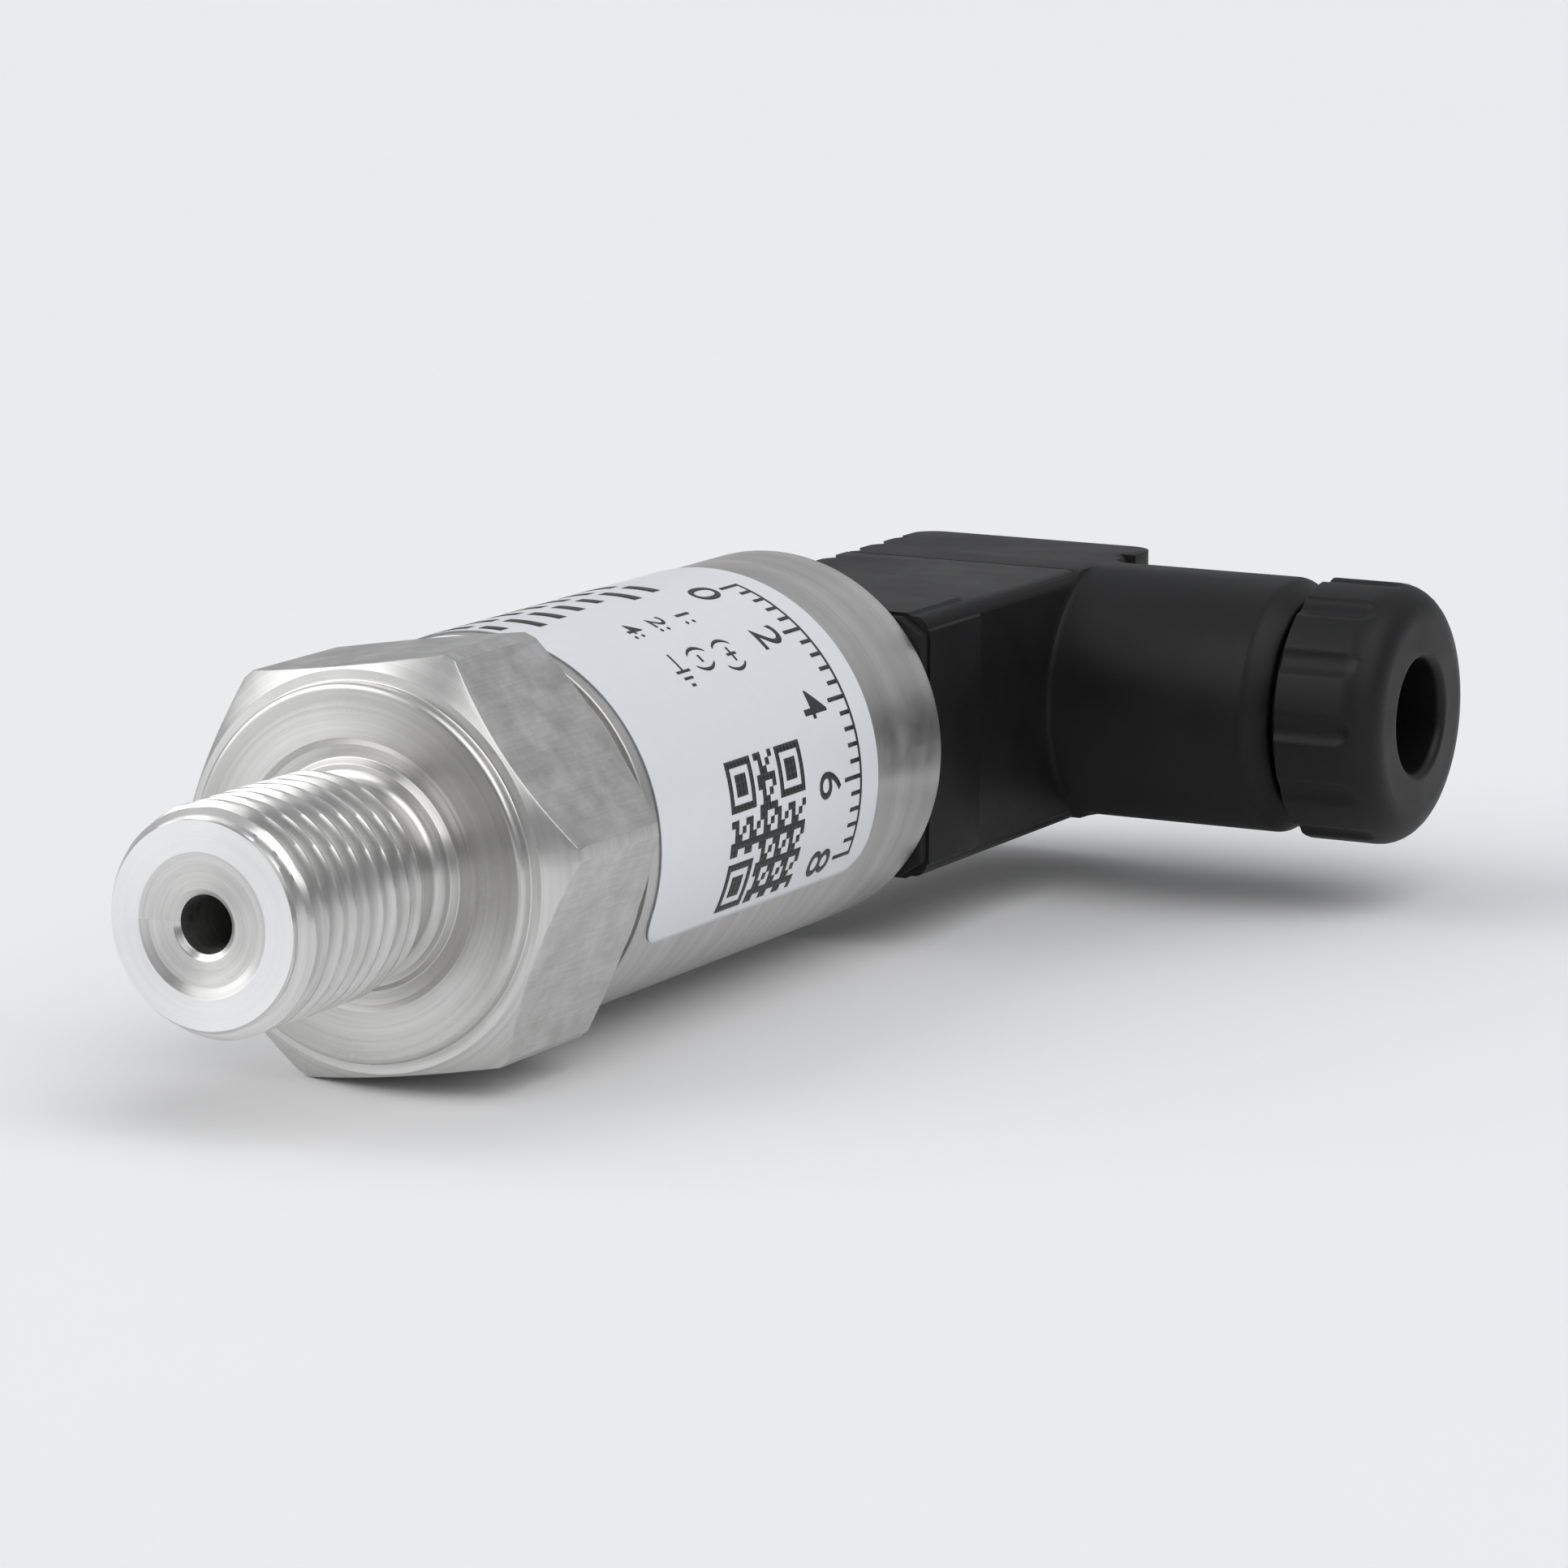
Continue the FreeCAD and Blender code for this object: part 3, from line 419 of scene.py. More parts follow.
# %% Hexagon
flat_distance = 12.5 * mm
corner_radius = 14.2 * mm
hexagon_turn = np.radians(8.5)
front_face_radius = 12.3 * mm
rear_face_radius = 12.45 * mm
hexagon_front_y = 10.675 * mm
hexagon_rear_y = 22.775 * mm
front_chamfer_length = 1.5 * mm
rear_chamfer_length = 0.95 * mm
front_cone = front_chamfer_length / (corner_radius - front_face_radius)
rear_cone = rear_chamfer_length / (corner_radius - rear_face_radius)
land_half = np.pi / 6 - np.arccos(flat_distance / corner_radius)

def hexagon_radius(turn):
    """min(flat / cos(angle from the flat's middle), corner radius)."""
    fold = (turn - hexagon_turn) % (np.pi / 3) - np.pi / 6
    return np.minimum(flat_distance / np.cos(fold), corner_radius)

edge_turns = hexagon_turn + np.pi / 3 * np.arange(6)[:, None] + land_half * np.array([-1, 1])
near_edge = np.radians(0.35) * np.array([-1, 0, 1])
edge_columns = (edge_turns[..., None] + near_edge).ravel() % (2 * np.pi)
plain_columns = turn_columns(216)
gap = np.abs((plain_columns[:, None] - edge_columns[None] + np.pi) % (2 * np.pi) - np.pi).min(1)
connection_turn = np.sort(np.concatenate([plain_columns[gap > np.radians(0.5)], edge_columns]))
print("columns", len(connection_turn), "land half angle", np.degrees(land_half))

# %% [markdown]
# The rows come in three groups. The first goes out of the bore over the end face, which is
# dished a little by the facing tool, to the edge of the nose. The second is the thread's fine
# rows. The third is the undercut, the lip ring, the sealing face, the collar and the hexagon,
# and goes on behind it over the spigot and back down into the bore, so the grid closes. Each
# table gives radius, y and corner radius in millimetres, and names the place beside them.

# %% Rows of the process connection
def row(radius, y, turn):
    """One row: a radius and a height for every column."""
    return np.stack([radius + 0 * turn, y + 0 * turn], -1)

def curved_rows(first, middle, last, count):
    """Rows on the quadratic curve (1-t)^2 first + 2t(1-t) middle + t^2 last."""
    t = np.linspace(0, 1, count)[:, None, None]
    return (1 - t) ** 2 * first + 2 * t * (1 - t) * middle + t ** 2 * last

def straight_rows(first, last, count):
    """Rows on the straight line (1-t) first + t last."""
    t = np.linspace(0, 1, count)[:, None, None]
    return (1 - t) * first + t * last

turn = connection_turn
end_mm = end_y / mm
spigot_mm = spigot_rear_y / mm
end_face = rounded_table([
    (1.75, 19.0, 0),                # inside the bore
    (1.75, end_mm + 0.50, 0.06),    # countersink
    (2.12, end_mm + 0.22, 0.1),
    (2.6, end_mm + 0.20, 0.2),      # dished floor
    (3.7, end_mm + 0.13, 0.5),
    (4.35, end_mm, 0.3),            # flat ring
    (6.2, end_mm, 0)])              # edge of the nose
thread_y = np.linspace(end_y, runout_y, thread_row_count)[1:, None]
thread_rows = np.stack([np.minimum(nose_envelope(thread_y), thread_radius - thread_groove(
    thread_y, turn[None], thread_pitch)), thread_y + 0 * turn], -1)
seal_face = rounded_table([
    (5.85, 7.1, 0),                 # undercut
    (5.85, 9.475, 0.6),
    (6.8, 9.475, 0.07),             # lip ring
    (7.1, 10.025, 0.1),             # groove behind the lip
    (7.9, 9.925, 0.1),
    (8.3, 9.775, 0.1),              # sealing face
    (11.6, 9.775, 0.35),            # collar
    (11.6, 10.675, 0.1),
    (12.3, 10.675, 0)])             # hexagon's front face

bevel = 0.06 * mm
side = hexagon_radius(turn)
front_edge_y = hexagon_front_y + front_cone * (side - front_face_radius)
rear_edge_y = hexagon_rear_y - rear_cone * (side - rear_face_radius)
front_run = np.minimum(bevel, (side - front_face_radius) / 2)
rear_run = np.minimum(bevel, np.maximum(side - rear_face_radius, 1e-6) / 2)
on_front_cone = np.stack([side - front_run, front_edge_y - front_cone * front_run], -1)
on_rear_cone = np.stack([side - rear_run, rear_edge_y + rear_cone * rear_run], -1)
after_front = np.stack([side, front_edge_y + bevel], -1)
before_rear = np.stack([side, rear_edge_y - bevel], -1)
hexagon_rows = [
    straight_rows(row(front_face_radius, hexagon_front_y, turn), on_front_cone, 5)[1:-1],
    curved_rows(on_front_cone, np.stack([side, front_edge_y], -1), after_front, 5),
    straight_rows(after_front, before_rear, 12)[1:-1],
    curved_rows(before_rear, np.stack([side, rear_edge_y], -1), on_rear_cone, 5),
    straight_rows(on_rear_cone, row(rear_face_radius, hexagon_rear_y, turn), 4)[1:]]
behind = rounded_table([
    (12.45, 22.80, 0),              # land behind the hexagon
    (12.45, 23.025, 0.08),
    (11.9, 23.025, 0.1),            # weld groove
    (11.9, 23.675, 0),
    (11.05, 23.675, 0),             # spigot
    (11.05, spigot_mm, 0.1),
    (9.25, spigot_mm, 0.1),         # cell's pocket
    (9.25, 19.925, 0),
    (4.5, 19.925, 0),               # pressure chamber
    (4.5, 19.425, 0),
    (1.75, 19.425, 0)])             # bore again

groups = [spun(end_face, turn), thread_rows, spun(seal_face, turn)] + hexagon_rows
flat_first = sum(len(group) for group in groups[:4])
flat_last = flat_first + len(hexagon_rows[1]) + len(hexagon_rows[2]) + len(hexagon_rows[3]) - 1
profile = np.concatenate(groups + [spun(behind, turn)])
print("rows", len(profile), "rows on the flats", flat_first, "to", flat_last)

# %% Process connection
radius, height = profile[..., 0], profile[..., 1]
connection_points = about_main(radius, height, turn[None]).reshape(-1, 3)
connection_faces = facing_out(connection_points,
                              grid_faces(len(profile), len(turn), wrap_rows=True))
row_of = np.arange(len(profile))[:, None] + 0 * turn[None].astype(int)
middle_turn = (turn + np.roll(turn, -1) + 2 * np.pi * (np.roll(turn, -1) < turn)) / 2
on_flat = np.abs((middle_turn - hexagon_turn + np.pi / 6) % (np.pi / 3) - np.pi / 6) > land_half
is_flat = ((row_of >= flat_first) & (row_of < flat_last) & on_flat[None]).ravel()
# The flat ring of the end face takes the lighter steel, whose extra brightness is a painted
# highlight.
painted_highlight_ring_rows = (radius[:, 0] > 4.25 * mm) & (height[:, 0] < end_y + 0.01 * mm)
on_painted_highlight_ring = (painted_highlight_ring_rows & np.roll(painted_highlight_ring_rows, -1))[row_of].ravel()
make_piece("steel_connection", connection_points, connection_faces,
           [turned_steel, drawn_steel, faced_steel_painted_highlight], "sensor",
           ["process_connection"], finish=is_flat + 2 * on_painted_highlight_ring, crease=26.0)

# %% [markdown]
# The housing is a drawn tube, ground to a satin hoop finish. It could be bought as tube and cut
# to length, but its rear end also has a short inward lip that holds the connector base. One
# lathe profile gives the wall, the lip and a small radius at each edge.

# %% Housing tube
def lathe(name, outline, count, materials, body, replaced, main=True, crease=32.0):
    """Closed outline (radius, y) round the main axis, or (x, radius) round the outlet."""
    columns = turn_columns(count)[None]
    first, second = outline[:, :1], outline[:, 1:]
    around = about_main if main else about_outlet
    points = around(first, second, columns).reshape(-1, 3)
    faces = facing_out(points, grid_faces(len(outline), count, wrap_rows=True))
    return make_piece(name, points, faces, materials, body, replaced, crease=crease)

tube_wall = 1.4 * mm
lip_depth = 0.8 * mm
lip_length = 0.8 * mm
tube_lip_radius = housing_radius - tube_wall - lip_depth
lip_front_y = housing_rear_y - lip_length
tube_outline = soften(
    [(housing_radius - tube_wall, housing_front_y), (housing_radius, housing_front_y),
     (housing_radius, housing_rear_y), (tube_lip_radius, housing_rear_y),
     (tube_lip_radius, lip_front_y), (housing_radius - tube_wall, lip_front_y)],
    np.array([0, 0.15, 0.3, 0.2, 0, 0]) * mm, steps=6)
lathe("satin_tube", tube_outline, 256, [tube_steel], "sensor", ["housing_tube"])

# %% [markdown]
# The label is a coated film wrapped round the tube, with rounded corners and a thin cut edge.
# It is one curved sheet: the two parameters are the angle and y, and near its corners each row
# starts later by the corner arc, r - sqrt(r^2 - d^2). Solidify then gives the film its thickness.

# %% Label film
label_front_y = low("type_label")[1]
label_rear_y = high("type_label")[1]
label_start = np.radians(-29.5)
label_stop = np.radians(232.0)
label_corner = 2.2 * mm

def corner_setback(y):
    """How far a row draws in beside a corner of the label."""
    to_edge = np.minimum(y - label_front_y, label_rear_y - y)
    d = np.clip(label_corner - to_edge, 0, label_corner)
    return label_corner - np.sqrt(label_corner ** 2 - d ** 2)

def label_points(radius, rows=61, columns=181):
    """Points of the sheet, closer together near its edges, with their flat coordinates."""
    ease = (1 - np.cos(np.linspace(0, np.pi, rows))) / 2
    y = (label_front_y + (label_rear_y - label_front_y) * ease)[:, None]
    cut = corner_setback(y) / housing_radius
    s = np.linspace(0, 1, columns)[None]
    angle = (label_start + cut) * (1 - s) + (label_stop - cut) * s
    uv = np.stack([angle * housing_radius, y + 0 * angle], -1).reshape(-1, 2)
    return about_main(radius + 0 * y, y, angle).reshape(-1, 3), uv, rows, columns

def film_finish():
    """Cool white coated film: faint mottle and a soft gloss."""
    material, tree, shader = new_finish("label_film", (0.78, 0.80, 0.84), 0.38,
                                        Coat_Weight=0.25, Coat_Roughness=0.22)
    where = place(tree)
    mottle = speckle(tree, where, 900.0, 4.0, 0.6)
    two_tones(tree, spread(tree, mottle, 0, 1), (0.775, 0.79, 0.83), (0.79, 0.805, 0.842), shader)
    gloss = spread(tree, speckle(tree, where, 300.0, 3.0), 0.32, 0.44)
    join(tree, gloss, shader.inputs["Roughness"])
    relief(tree, speckle(tree, where, 2500.0, 2.0), 0.12, 0.01 * mm, shader)
    return material

label_film = film_finish()
film_edge, edge_tree, edge_shader = new_finish("film_edge", (0.30, 0.31, 0.33), 0.6)
two_tones(edge_tree, speckle(edge_tree, place(edge_tree), 3000.0), (0.22, 0.23, 0.25),
          (0.38, 0.39, 0.41), edge_shader)
points, uv, rows, columns = label_points(label_radius)
faces = grid_faces(rows, columns, wrap_columns=False)[:, ::-1]
label = make_piece("label_sheet", points, faces, [label_film, film_edge], "sensor",
                   ["type_label"], uv=uv, merge=False)
thickness = label.modifiers.new("film", "SOLIDIFY")
thickness.thickness = film
thickness.offset = -1
thickness.material_offset_rim = 1
print("label from", label_front_y / mm, "to", label_rear_y / mm)

# %% [markdown]
# The print is a thin film of ink. A painted texture would blur close up, so each mark is a real
# thin plate. The marks are plain and generic: a ruled scale along the rear edge, pin numbers
# with their signs, bars where lines of words would stand, and a square lattice that follows a
# formula and says nothing. Each mark is first drawn flat, in millimetres: s runs in the reading
# direction, which goes down the front of the tube, and t is the height y. Wrapping is one
# formula for every point: the angle is a quarter turn minus s / r.

# %% Ink plates
ink_gap = 0.012 * mm
ink_depth = 0.008 * mm
ink, ink_tree, ink_shader = new_finish("label_ink", (0.02, 0.022, 0.027), 0.42)
two_tones(ink_tree, speckle(ink_tree, place(ink_tree), 6000.0), (0.014, 0.016, 0.020),
          (0.030, 0.032, 0.038), ink_shader)

def wrapped(flat):
    """Flat (s, t) in mm to points on the label: angle = 90 degrees - s / r, y = t."""
    turned = np.pi / 2 - flat[:, 0] * mm / label_radius
    return about_main(label_radius + ink_gap, flat[:, 1] * mm, turned)

def plates(bars, step=0.45):
    """Bars (s from, s to, t from, t to) as strips of short quads, so that they bend."""
    points, faces, count = [], [], 0
    for s_from, s_to, t_from, t_to in bars:
        stations = int(np.ceil((s_to - s_from) / step)) + 1
        along = np.linspace(s_from, s_to, max(stations, 2))
        points.append(np.stack([np.repeat(along, 2), np.tile([t_from, t_to], len(along))], -1))
        faces.append(grid_faces(len(along), 2, wrap_columns=False) + count)
        count += 2 * len(along)
    return np.concatenate(points), np.concatenate(faces)

def printed(name, points, faces):
    """A plate of ink from a thin sheet, turned to look away from the main axis."""
    a, b, c = (points[faces[0, k]] for k in range(3))
    if np.dot(np.cross(b - a, c - a), a * [1, 0, 1]) < 0:
        faces = faces[:, ::-1]
    made = make_piece(name, points, faces, [ink], "sensor", ["type_label"],
                      merge=False)
    layer = made.modifiers.new("ink", "SOLIDIFY")
    layer.thickness = ink_depth
    layer.offset = 1

def printed_bars(name, bars):
    """Bars of ink, wrapped round the tube."""
    flat, faces = plates(bars)
    printed(name, wrapped(flat), faces)

def printed_words(name, words):
    """Words (text, size, s, t) from the plain font, in small triangles, wrapped."""
    flat, faces, count = [], [], 0
    longest_edge = 0.35
    for text, size, s_from, t_from in words:
        curve = bpy.data.curves.new(name, "FONT")
        curve.body, curve.size, curve.offset = text, size, 0.003 * size
        drawn = bpy.data.objects.new(name, curve)
        work = bmesh.new()
        work.from_mesh(drawn.to_mesh())
        bmesh.ops.triangulate(work, faces=work.faces)
        for _ in range(3):
            long_edges = [edge for edge in work.edges
                          if edge.calc_length() > longest_edge]
            if long_edges:
                bmesh.ops.subdivide_edges(work, edges=long_edges, cuts=1)
                bmesh.ops.triangulate(work, faces=work.faces)
        cut = bpy.data.meshes.new(name)
        work.to_mesh(cut)
        work.free()
        co = np.empty(len(cut.vertices) * 3)
        cut.vertices.foreach_get("co", co)
        corners = np.empty(len(cut.loops), int)
        cut.loops.foreach_get("vertex_index", corners)
        flat.append(co.reshape(-1, 3)[:, :2] + [s_from, t_from])
        faces.append(corners.reshape(-1, 3) + count)
        count += len(cut.vertices)
        bpy.data.objects.remove(drawn)
        bpy.data.curves.remove(curve)
        bpy.data.meshes.remove(cut)
    printed(name, wrapped(np.concatenate(flat)), np.concatenate(faces))

# %% Ruled scale, pin numbers, lines and lattice
scale_start, scale_step, scale_count = 3.6, 1.05, 21
scale_s = scale_start + scale_step * np.arange(scale_count)
long_mark = np.arange(scale_count) % 5 == 0
mark_half, mark_foot, long_extra = 0.14, 49.9, 0.9
mark_top, rule_top = 51.1, 51.35
scale_bars = [(s_at - mark_half, s_at + mark_half, mark_foot - long_extra * is_long, mark_top)
              for s_at, is_long in zip(scale_s, long_mark)]
scale_bars.append((scale_s[0] - mark_half, scale_s[-1] + mark_half, mark_top, rule_top))
printed_bars("label_scale", scale_bars)
number_size, number_shift, number_t = 4.1, 1.1, 45.6
printed_words("label_numbers", [(str(2 * k), number_size, scale_s[5 * k] - number_shift, number_t)
                                for k in range(5)])

row_t = np.array([40.65, 37.35, 34.1])
pin_size, pin_s, sign_s = 2.4, 4.4, 7.7
printed_words("label_pins", [
    ("1:", pin_size, pin_s, row_t[0]), ("2:", pin_size, pin_s, row_t[1]),
    ("4:", pin_size, pin_s, row_t[2]), ("(+)", pin_size, sign_s, row_t[0]),
    ("(-)", pin_size, sign_s, row_t[1])])
earth_t = row_t[2]
printed_bars("label_earth", [
    (7.9, 9.3, earth_t + 0.74, earth_t + 0.94), (9.3, 9.5, earth_t, earth_t + 1.68),
    (9.85, 10.05, earth_t + 0.3, earth_t + 1.38), (10.4, 10.6, earth_t + 0.6, earth_t + 1.08)])

word_ends = np.array([-13.6, -9.9, -9.1, -6.3, -5.5, -1.5, -0.7])
first_line_t, line_pitch, line_count, line_height = 25.6, 3.0, 7, 1.0
line_bars = []
for k, line_t in enumerate(first_line_t + line_pitch * np.arange(line_count)):
    shift = 0.9 * (k % 3)
    last = 0.9 + 0.35 * ((3 * k) % 4)
    line_top = line_t + line_height
    line_bars += [(word_ends[0] + shift, word_ends[1] + shift, line_t, line_top),
                  (word_ends[2] + shift, word_ends[3] + shift, line_t, line_top),
                  (word_ends[4] + shift, word_ends[5], line_t, line_top),
                  (word_ends[6], last, line_t, line_top)]
printed_bars("label_lines", line_bars)

cell, cells = 0.467, 21
lattice_s, lattice_t = 15.8, 33.8
far_mark = cells - 7
i, j = np.meshgrid(np.arange(cells), np.arange(cells), indexing="ij")
filled = (3 * i + 5 * j + i * j) % 4 < 2
for corner_i, corner_j in ((0, 0), (0, far_mark), (far_mark, 0)):
    ring = np.maximum(np.abs(i - corner_i - 3), np.abs(j - corner_j - 3))
    filled = np.where(ring <= 4, (ring == 3) | (ring <= 1), filled)
lattice_i, lattice_j = np.nonzero(filled)
lattice = np.stack([lattice_s + cell * lattice_i, lattice_s + cell * (lattice_i + 1),
                    lattice_t + cell * lattice_j, lattice_t + cell * (lattice_j + 1)], -1)
printed_bars("label_lattice", lattice.tolist())

# %% [markdown]
# The plug's hood is a moulding: flat sides, scalloped grip ribs down its back, a skirt round its
# mouth and a round outlet. The solid already has these forms. Its mesh is loose triangles with
# sharp corners, so a copy is merged, and a small bevel gives the corners the mould's radius.

# %% Moulded black plastic
def moulded_finish(name, dark, bright, rough, grain=5500.0):
    """Glass-filled nylon: near black, a fine spark-eroded grain and slight unevenness in gloss."""
    material, tree, shader = new_finish(name, dark, rough, Specular_IOR_Level=0.25)
    where = place(tree)
    grain_pattern = speckle(tree, where, grain, 3.0, 0.65)
    cloud = speckle(tree, where, 120.0, 4.0, 0.6)
    two_tones(tree, spread(tree, cloud, 0, 1), dark, bright, shader)
    join(tree, spread(tree, cloud, rough - 0.06, rough + 0.07), shader.inputs["Roughness"])
    first = relief(tree, grain_pattern, 0.35, 0.02 * mm, shader)
    relief(tree, speckle(tree, where, 45.0, 2.0), 0.2, 0.15 * mm, shader, first)
    return material

black_plastic = moulded_finish("black_plastic", (0.005, 0.005, 0.0055), (0.009, 0.009, 0.010),
                               0.46)
black_rubber = moulded_finish("black_rubber", (0.007, 0.007, 0.007), (0.013, 0.013, 0.013),
                              0.68, grain=3500.0)

def merged_copy(name, node, materials, body, width, angle=30.0, segments=3, cut_y=None):
    """Copy of a node's mesh: corners joined, flat patches dissolved, edges bevelled."""
    mesh = nodes[node].data.copy()
    mesh.name = name
    work = bmesh.new()
    work.from_mesh(mesh)
    bmesh.ops.remove_doubles(work, verts=work.verts, dist=1e-6)
    bmesh.ops.dissolve_limit(work, angle_limit=np.radians(0.5), verts=work.verts, edges=work.edges)
    if cut_y is not None:
        everything = work.verts[:] + work.edges[:] + work.faces[:]
        cut = bmesh.ops.bisect_plane(work, geom=everything, plane_co=(0, cut_y, 0),
                                     plane_no=(0, 1, 0), clear_inner=True)
        rim = [part for part in cut["geom_cut"] if isinstance(part, bmesh.types.BMEdge)]
        bmesh.ops.contextual_create(work, geom=rim)
    work.to_mesh(mesh)
    work.free()
    mesh.materials.clear()
    for material in materials:
        mesh.materials.append(material)
    mesh.polygons.foreach_set("use_smooth", np.ones(len(mesh.polygons), bool))
    made = bpy.data.objects.new(name, mesh)
    bpy.context.scene.collection.objects.link(made)
    rounding = made.modifiers.new("mould radius", "BEVEL")
    rounding.width = width
    rounding.segments = segments
    rounding.limit_method = "ANGLE"
    rounding.angle_limit = np.radians(angle)
    rounding.harden_normals = True
    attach(made, body)
    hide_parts(node)
    print(name, "faces", len(mesh.polygons))

merged_copy("moulded_hood", "plug_hood", [black_plastic], "plug", 0.16 * mm)

# %% [markdown]
# The gland nut is gripped by hand, so its rim has shallow flutes. Each is cut by a ball-ended
# cutter beside the nut. Seen from the axis, the cut surface is where a ray meets the cutter's
# circle: R cos d - sqrt(p^2 - R^2 sin^2 d), with d the angle from the flute. Past the flute's end
# the ball takes over and p shrinks. The stub behind the nut carries the same kind of thread as
# the process connection, so the thread's function is used again.

# %% Gland nut
nut_radius = 8.9 * mm
grip_root_radius = 7.9 * mm
nut_stub_radius = 6.95 * mm
stub_thread_start, stub_thread_stop = 21.1 * mm, 26.9 * mm
stub_fade_x = 26.8 * mm
rim_first_x, rim_last_x = 28.1 * mm, 32.3 * mm
rim_rows = 30
flute_count = 12
flute_radius = 1.6 * mm
flute_depth = 0.35 * mm
flute_end_x = nut_end_x - 2.5 * mm

def fluted_radius(x, turn):
    """Radius of the nut's grip at each x and angle, min of the rim and the flute's cut."""
    cutter = nut_radius + flute_radius - flute_depth
    pitch = 2 * np.pi / flute_count
    d = (turn + pitch / 2) % pitch - pitch / 2
    ball = np.sqrt(np.maximum(flute_radius ** 2 - np.maximum(x - flute_end_x, 0) ** 2, 0))
    inside = ball ** 2 - (cutter * np.sin(d)) ** 2
    cut = cutter * np.cos(d) - np.sqrt(np.maximum(inside, 0))
    return np.where(inside > 0, np.minimum(nut_radius, cut), nut_radius)

nut_turn = turn_columns(flute_count * 26)
stub = rounded_table([
    (20.5, 3.9, 0.2),               # bore's mouth, inside
    (20.5, 6.35, 0),                # stub's end
    (21.1, 6.95, 0)])
stub_thread_x = np.linspace(stub_thread_start, stub_thread_stop, 62)[:, None]
stub_groove = 0.8 * thread_groove(stub_thread_x, nut_turn[None], thread_pitch)
stub_fade = np.clip((stub_fade_x - stub_thread_x) / mm, 0, 1)
stub_thread = np.stack([stub_thread_x + 0 * nut_turn,
                        nut_stub_radius - stub_groove * stub_fade], -1)
grip = rounded_table([
    (27.0, 6.95, 0),                # stub's root
    (27.3, 6.95, 0.1),
    (27.3, 7.9, 0.15),              # nut's rear face
    (27.8, 8.9, 0.15),              # rim
    (34.8, 8.9, 2.4),               # front edge
    (34.8, 3.9, 0.6),               # mouth
    (20.5, 3.9, 0.2)], steps=9)     # bore
rim_points = np.stack([np.linspace(rim_first_x, rim_last_x, rim_rows),
                       np.full(rim_rows, nut_radius)], -1)
outward = np.arange(len(grip)) < np.argmax(grip[:, 0] > rim_last_x)
grip = np.concatenate([grip[outward], rim_points, grip[~outward]])
grip_rows = spun(grip, nut_turn)
grip_x, grip_radius = grip_rows[..., 0], grip_rows[..., 1]
fluted = np.minimum(grip_radius, fluted_radius(grip_x, nut_turn[None]))
grip_rows[..., 1] = np.where(grip_radius > grip_root_radius, fluted, grip_radius)
nut_profile = np.concatenate([spun(stub, nut_turn), stub_thread, grip_rows])
nut_points = about_outlet(nut_profile[..., 0], nut_profile[..., 1], nut_turn[None]).reshape(-1, 3)
nut_faces = facing_out(nut_points, grid_faces(len(nut_profile), len(nut_turn), wrap_rows=True))
make_piece("fluted_nut", nut_points, nut_faces, [black_plastic], "nut",
           ["gland_nut"], crease=28.0)

# %% [markdown]
# The inner pieces show when the plug is pulled off or the sensor is cut open in a lesson. Their
# solids have the right shape already, so each is copied, gets a small radius at its edges and a
# real finish. The solids themselves get the same finishes and stay as they are.

# %% Finishes of the inner pieces
def plain_finish(name, dark, bright, rough, metallic=0.0, scale=1500.0, bump=0.2, **more):
    """A finish with a two-tone fine mottle, uneven gloss and a shallow relief."""
    material, tree, shader = new_finish(name, bright, rough, metallic, **more)
    where = place(tree)
    mottle = speckle(tree, where, scale, 5.0, 0.6)
    two_tones(tree, spread(tree, mottle, 0, 1), dark, bright, shader)
    join(tree, spread(tree, speckle(tree, where, scale / 6, 3.0), rough - 0.05, rough + 0.08),
         shader.inputs["Roughness"])
    relief(tree, mottle, bump, 0.01 * mm, shader)
    return material

brass = plain_finish("turned_brass", (0.62, 0.44, 0.16), (0.80, 0.62, 0.28), 0.26, 1.0)
plated = plain_finish("plated_steel", (0.56, 0.57, 0.58), (0.72, 0.73, 0.74), 0.24, 1.0, 2500.0)
tinned = plain_finish("tinned_copper", (0.66, 0.66, 0.64), (0.80, 0.80, 0.78), 0.30, 1.0, 2200.0)
ceramic = plain_finish("white_ceramic", (0.74, 0.73, 0.70), (0.82, 0.81, 0.78), 0.5, 0.0, 2600.0)
board_green = plain_finish("board_green", (0.012, 0.10, 0.035), (0.02, 0.15, 0.05), 0.34,
                           scale=1800.0)
component_black = plain_finish("component_black", (0.02, 0.02, 0.02), (0.045, 0.045, 0.045),
                               0.5, scale=4000.0)

finish_of_slot = {
    "turned_steel": turned_steel, "tube_steel": tube_steel, "label_foil": label_film,
    "black_plastic": black_plastic, "black_rubber": black_rubber, "white_ceramic": ceramic,
    "board_green": board_green, "component_black": component_black, "tinned_wire": tinned,
    "tinned_contact": tinned, "plated_screw": plated, "brass": brass}
slot_of_node = {sub["node"]: sub["material_slot"] for sub in frame["record"]["subparts"]}
held_by_body = frame["record"]["behaviour"]["bodies"]
body_of_node = {node: body for body, held in held_by_body.items() for node in held}
for node, made in nodes.items():
    made.data.materials.clear()
    made.data.materials.append(finish_of_slot[slot_of_node[node]])
edge_radii = {
    "connector_base": 0.12, "plug_gasket": 0.10, "terminal_insert": 0.10, "cable_grommet": 0.10,
    "screw_washer": 0.05, "gland_ring": 0.05, "threaded_insert": 0.05, "contact_pins": 0.06,
    "earth_pin": 0.06, "socket_contacts": 0.04, "earth_contact": 0.04, "terminal_screws": 0.05,
    "circuit_board": 0.04, "board_components": 0.04, "pressure_cell": 0.08, "cell_clamp_ring": 0.06}
for node, width in edge_radii.items():
    slot = slot_of_node[node]
    merged_copy("dressed_" + node, node, [finish_of_slot[slot]], body_of_node[node],
                width * mm, segments=2)
print("finishes by node", slot_of_node)

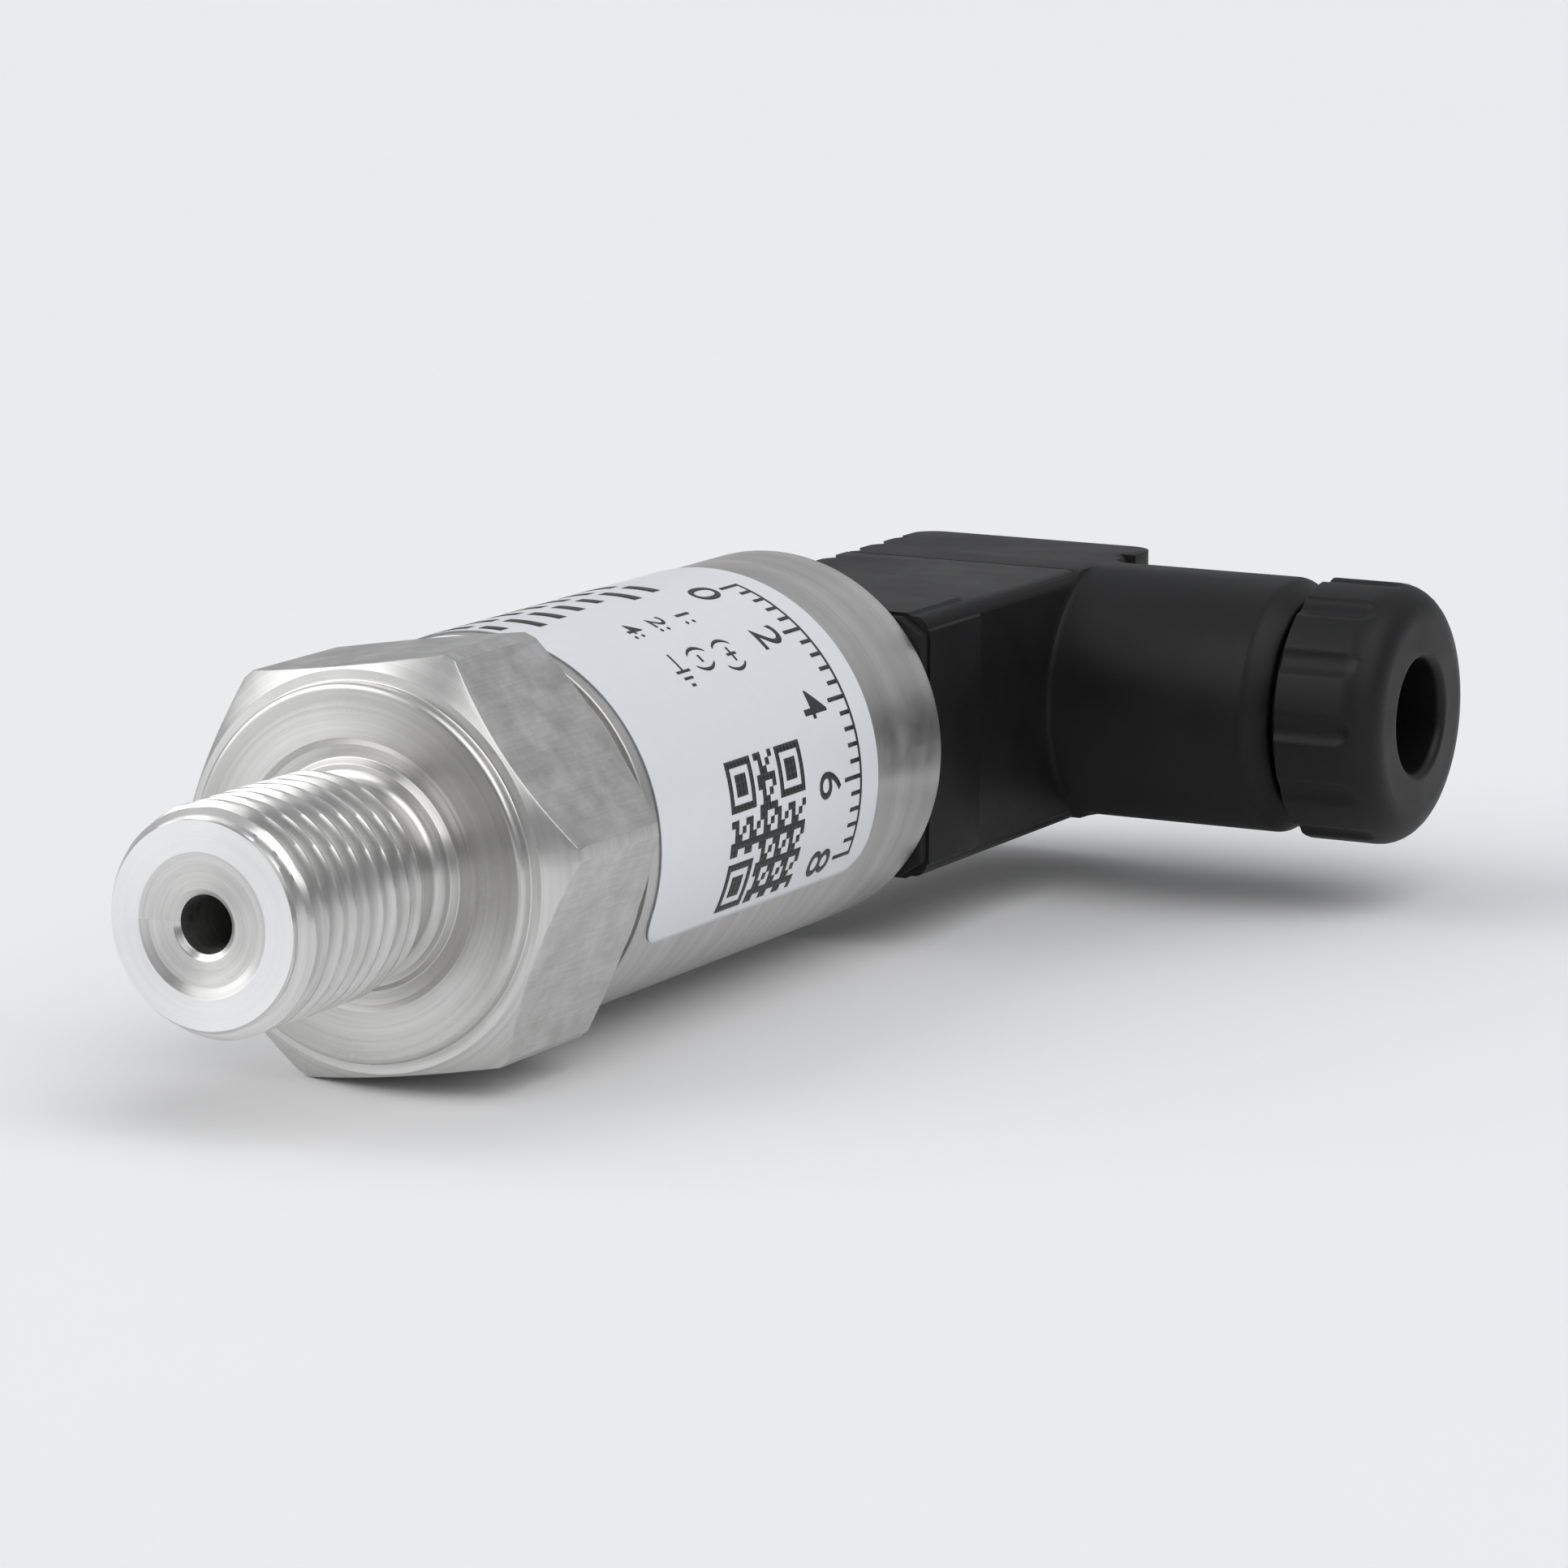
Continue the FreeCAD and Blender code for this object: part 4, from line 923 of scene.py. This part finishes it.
# %% [markdown]
# The centre screw clamps the plug to the base. Its head is the solid's own, cut off just under
# its seat. The shank is a lathe shape with a fine thread on its last few millimetres, made with
# the same groove formula as the process thread, and a 45 degree chamfer at the tip.

# %% Centre screw
screw_radius = 1.25 * mm
screw_pitch = 0.45 * mm
screw_tip_radius = 0.85 * mm
screw_head_height = 2.2 * mm
screw_thread_length = 8.0 * mm
screw_tip_y = low("centre_screw")[1]
screw_seat_y = high("centre_screw")[1] - screw_head_height
screw_thread_end = screw_tip_y + screw_thread_length
screw_cut_y = screw_seat_y - 0.04 * mm
shank_rear_y = screw_seat_y + 0.3 * mm
merged_copy("screw_head", "centre_screw", [plated], "screw", 0.10 * mm,
            cut_y=screw_cut_y)
screw_turn = turn_columns(48)
shank_y = np.append(np.linspace(screw_tip_y, screw_thread_end, 240), shank_rear_y)[:, None]
fade = np.clip((screw_thread_end - shank_y) / screw_pitch, 0, 1)
plain_radius = np.minimum(screw_tip_radius + shank_y - screw_tip_y, screw_radius)
cut_radius = screw_radius - fade * thread_groove(shank_y, screw_turn[None], screw_pitch)
shank = np.stack([np.minimum(plain_radius, cut_radius), shank_y + 0 * screw_turn], -1)
shank = np.concatenate([row(0, screw_tip_y, screw_turn)[None], shank,
                        row(0, shank_rear_y, screw_turn)[None]])
shank_points = about_main(shank[..., 0], shank[..., 1], screw_turn[None]).reshape(-1, 3)
shank_faces = facing_out(shank_points, grid_faces(len(shank), len(screw_turn)))
make_piece("screw_shank", shank_points, shank_faces, [plated], "screw",
           ["centre_screw"], crease=28.0)

# %% [markdown]
# The setting is a plain studio: a pale floor, a broad low sun from the left as the key light, a
# second broad sun from high on the right, and a pale sky. Suns light the whole floor evenly, and
# their wide angle makes the shadows soft. Steel shows its form only by what it mirrors, so the
# sky is dimmer low down and has one shaded patch in front.

# %% Floor and light
floor_gap = 0.05 * mm
floor_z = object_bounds()[0][2] - floor_gap

def pale_finish():
    """Matt pale floor with the faintest unevenness."""
    material, tree, shader = new_finish("pale_floor", (0.86, 0.86, 0.86), 0.75,
                                        Specular_IOR_Level=0.2)
    mottle = speckle(tree, place(tree), 12.0, 3.0)
    two_tones(tree, spread(tree, mottle, 0, 1), (0.855, 0.855, 0.86), (0.865, 0.865, 0.87), shader)
    return material

floor_half = 4.0
floor_mesh = bpy.data.meshes.new("floor")
floor_mesh.from_pydata([(-floor_half, -floor_half, floor_z), (floor_half, -floor_half, floor_z),
                        (floor_half, floor_half, floor_z), (-floor_half, floor_half, floor_z)],
                       [], [(0, 1, 2, 3)])
floor_mesh.materials.append(pale_finish())
floor = bpy.data.objects.new("floor", floor_mesh)
bpy.context.scene.collection.objects.link(floor)

def soft_sun(name, azimuth, elevation, spread_angle, strength):
    """Sun lamp wide enough to act as a large soft box; it lights the whole floor evenly."""
    a, e = np.radians(azimuth), np.radians(elevation)
    away = Vector((np.sin(a) * np.cos(e), -np.cos(a) * np.cos(e), np.sin(e)))
    data = bpy.data.lights.new(name, "SUN")
    data.angle = np.radians(spread_angle)
    data.energy = strength
    lamp = bpy.data.objects.new(name, data)
    lamp.rotation_euler = away.to_track_quat("Z", "Y").to_euler()
    bpy.context.scene.collection.objects.link(lamp)

soft_sun("key", -52.0, 28.0, 58.0, 1.45)
soft_sun("side", 66.0, 52.0, 60.0, 1.1)
world = bpy.data.worlds.new("studio")
bpy.context.scene.world = world
world.use_nodes = True
surround = world.node_tree.nodes["Background"]
surround.inputs["Color"].default_value = (0.93, 0.94, 0.96, 1)
sky = world.node_tree
direction = add(sky, "TexCoord").outputs["Generated"]
axes = add(sky, "SeparateXYZ")
join(sky, direction, axes.inputs[0])
dome = spread(sky, axes.outputs[2], low_value=0.36, high_value=0.62,
              from_low=0.05, from_high=0.75)
toward_front = add(sky, "VectorMath", {"operation": "DOT_PRODUCT"})
join(sky, direction, toward_front.inputs[0])
toward_front.inputs[1].default_value = (-0.05, -0.99, 0.05)
shade = spread(sky, toward_front.outputs["Value"], low_value=1.0, high_value=0.35,
               from_low=0.45, from_high=0.95)
join(sky, sum_of(sky, "MULTIPLY", dome, shade), surround.inputs["Strength"])
print("floor at mm", floor_z / mm)

# %% [markdown]
# The camera stands off to the right of the nose, a little above it, with a long lens.

# %% Camera
camera_azimuth = np.radians(27.842)
camera_elevation = np.radians(10.579)
camera_roll = np.radians(0.143)
camera_place = Vector((209.096 * mm, -331.324 * mm, 80.172 * mm))
lens_mm = 156.66
back = np.array([np.sin(camera_azimuth) * np.cos(camera_elevation),
                 -np.cos(camera_azimuth) * np.cos(camera_elevation), np.sin(camera_elevation)])
level = np.cross(-back, [0, 0, 1])
level /= np.linalg.norm(level)
upright = np.cross(level, -back)
right = np.cos(camera_roll) * level + np.sin(camera_roll) * upright
above = -np.sin(camera_roll) * level + np.cos(camera_roll) * upright
camera_data = bpy.data.cameras.new("camera")
camera_data.sensor_width = 36.0
camera_data.lens = lens_mm
camera_data.clip_start = 0.01
camera = bpy.data.objects.new("camera", camera_data)
turned_axes = Matrix([[right[k], above[k], back[k]] for k in range(3)])
camera.matrix_world = Matrix.Translation(camera_place) @ turned_axes.to_4x4()
bpy.context.scene.collection.objects.link(camera)
bpy.context.scene.camera = camera
bpy.context.scene.view_settings.view_transform = "Standard"
print("lens mm", camera_data.lens)
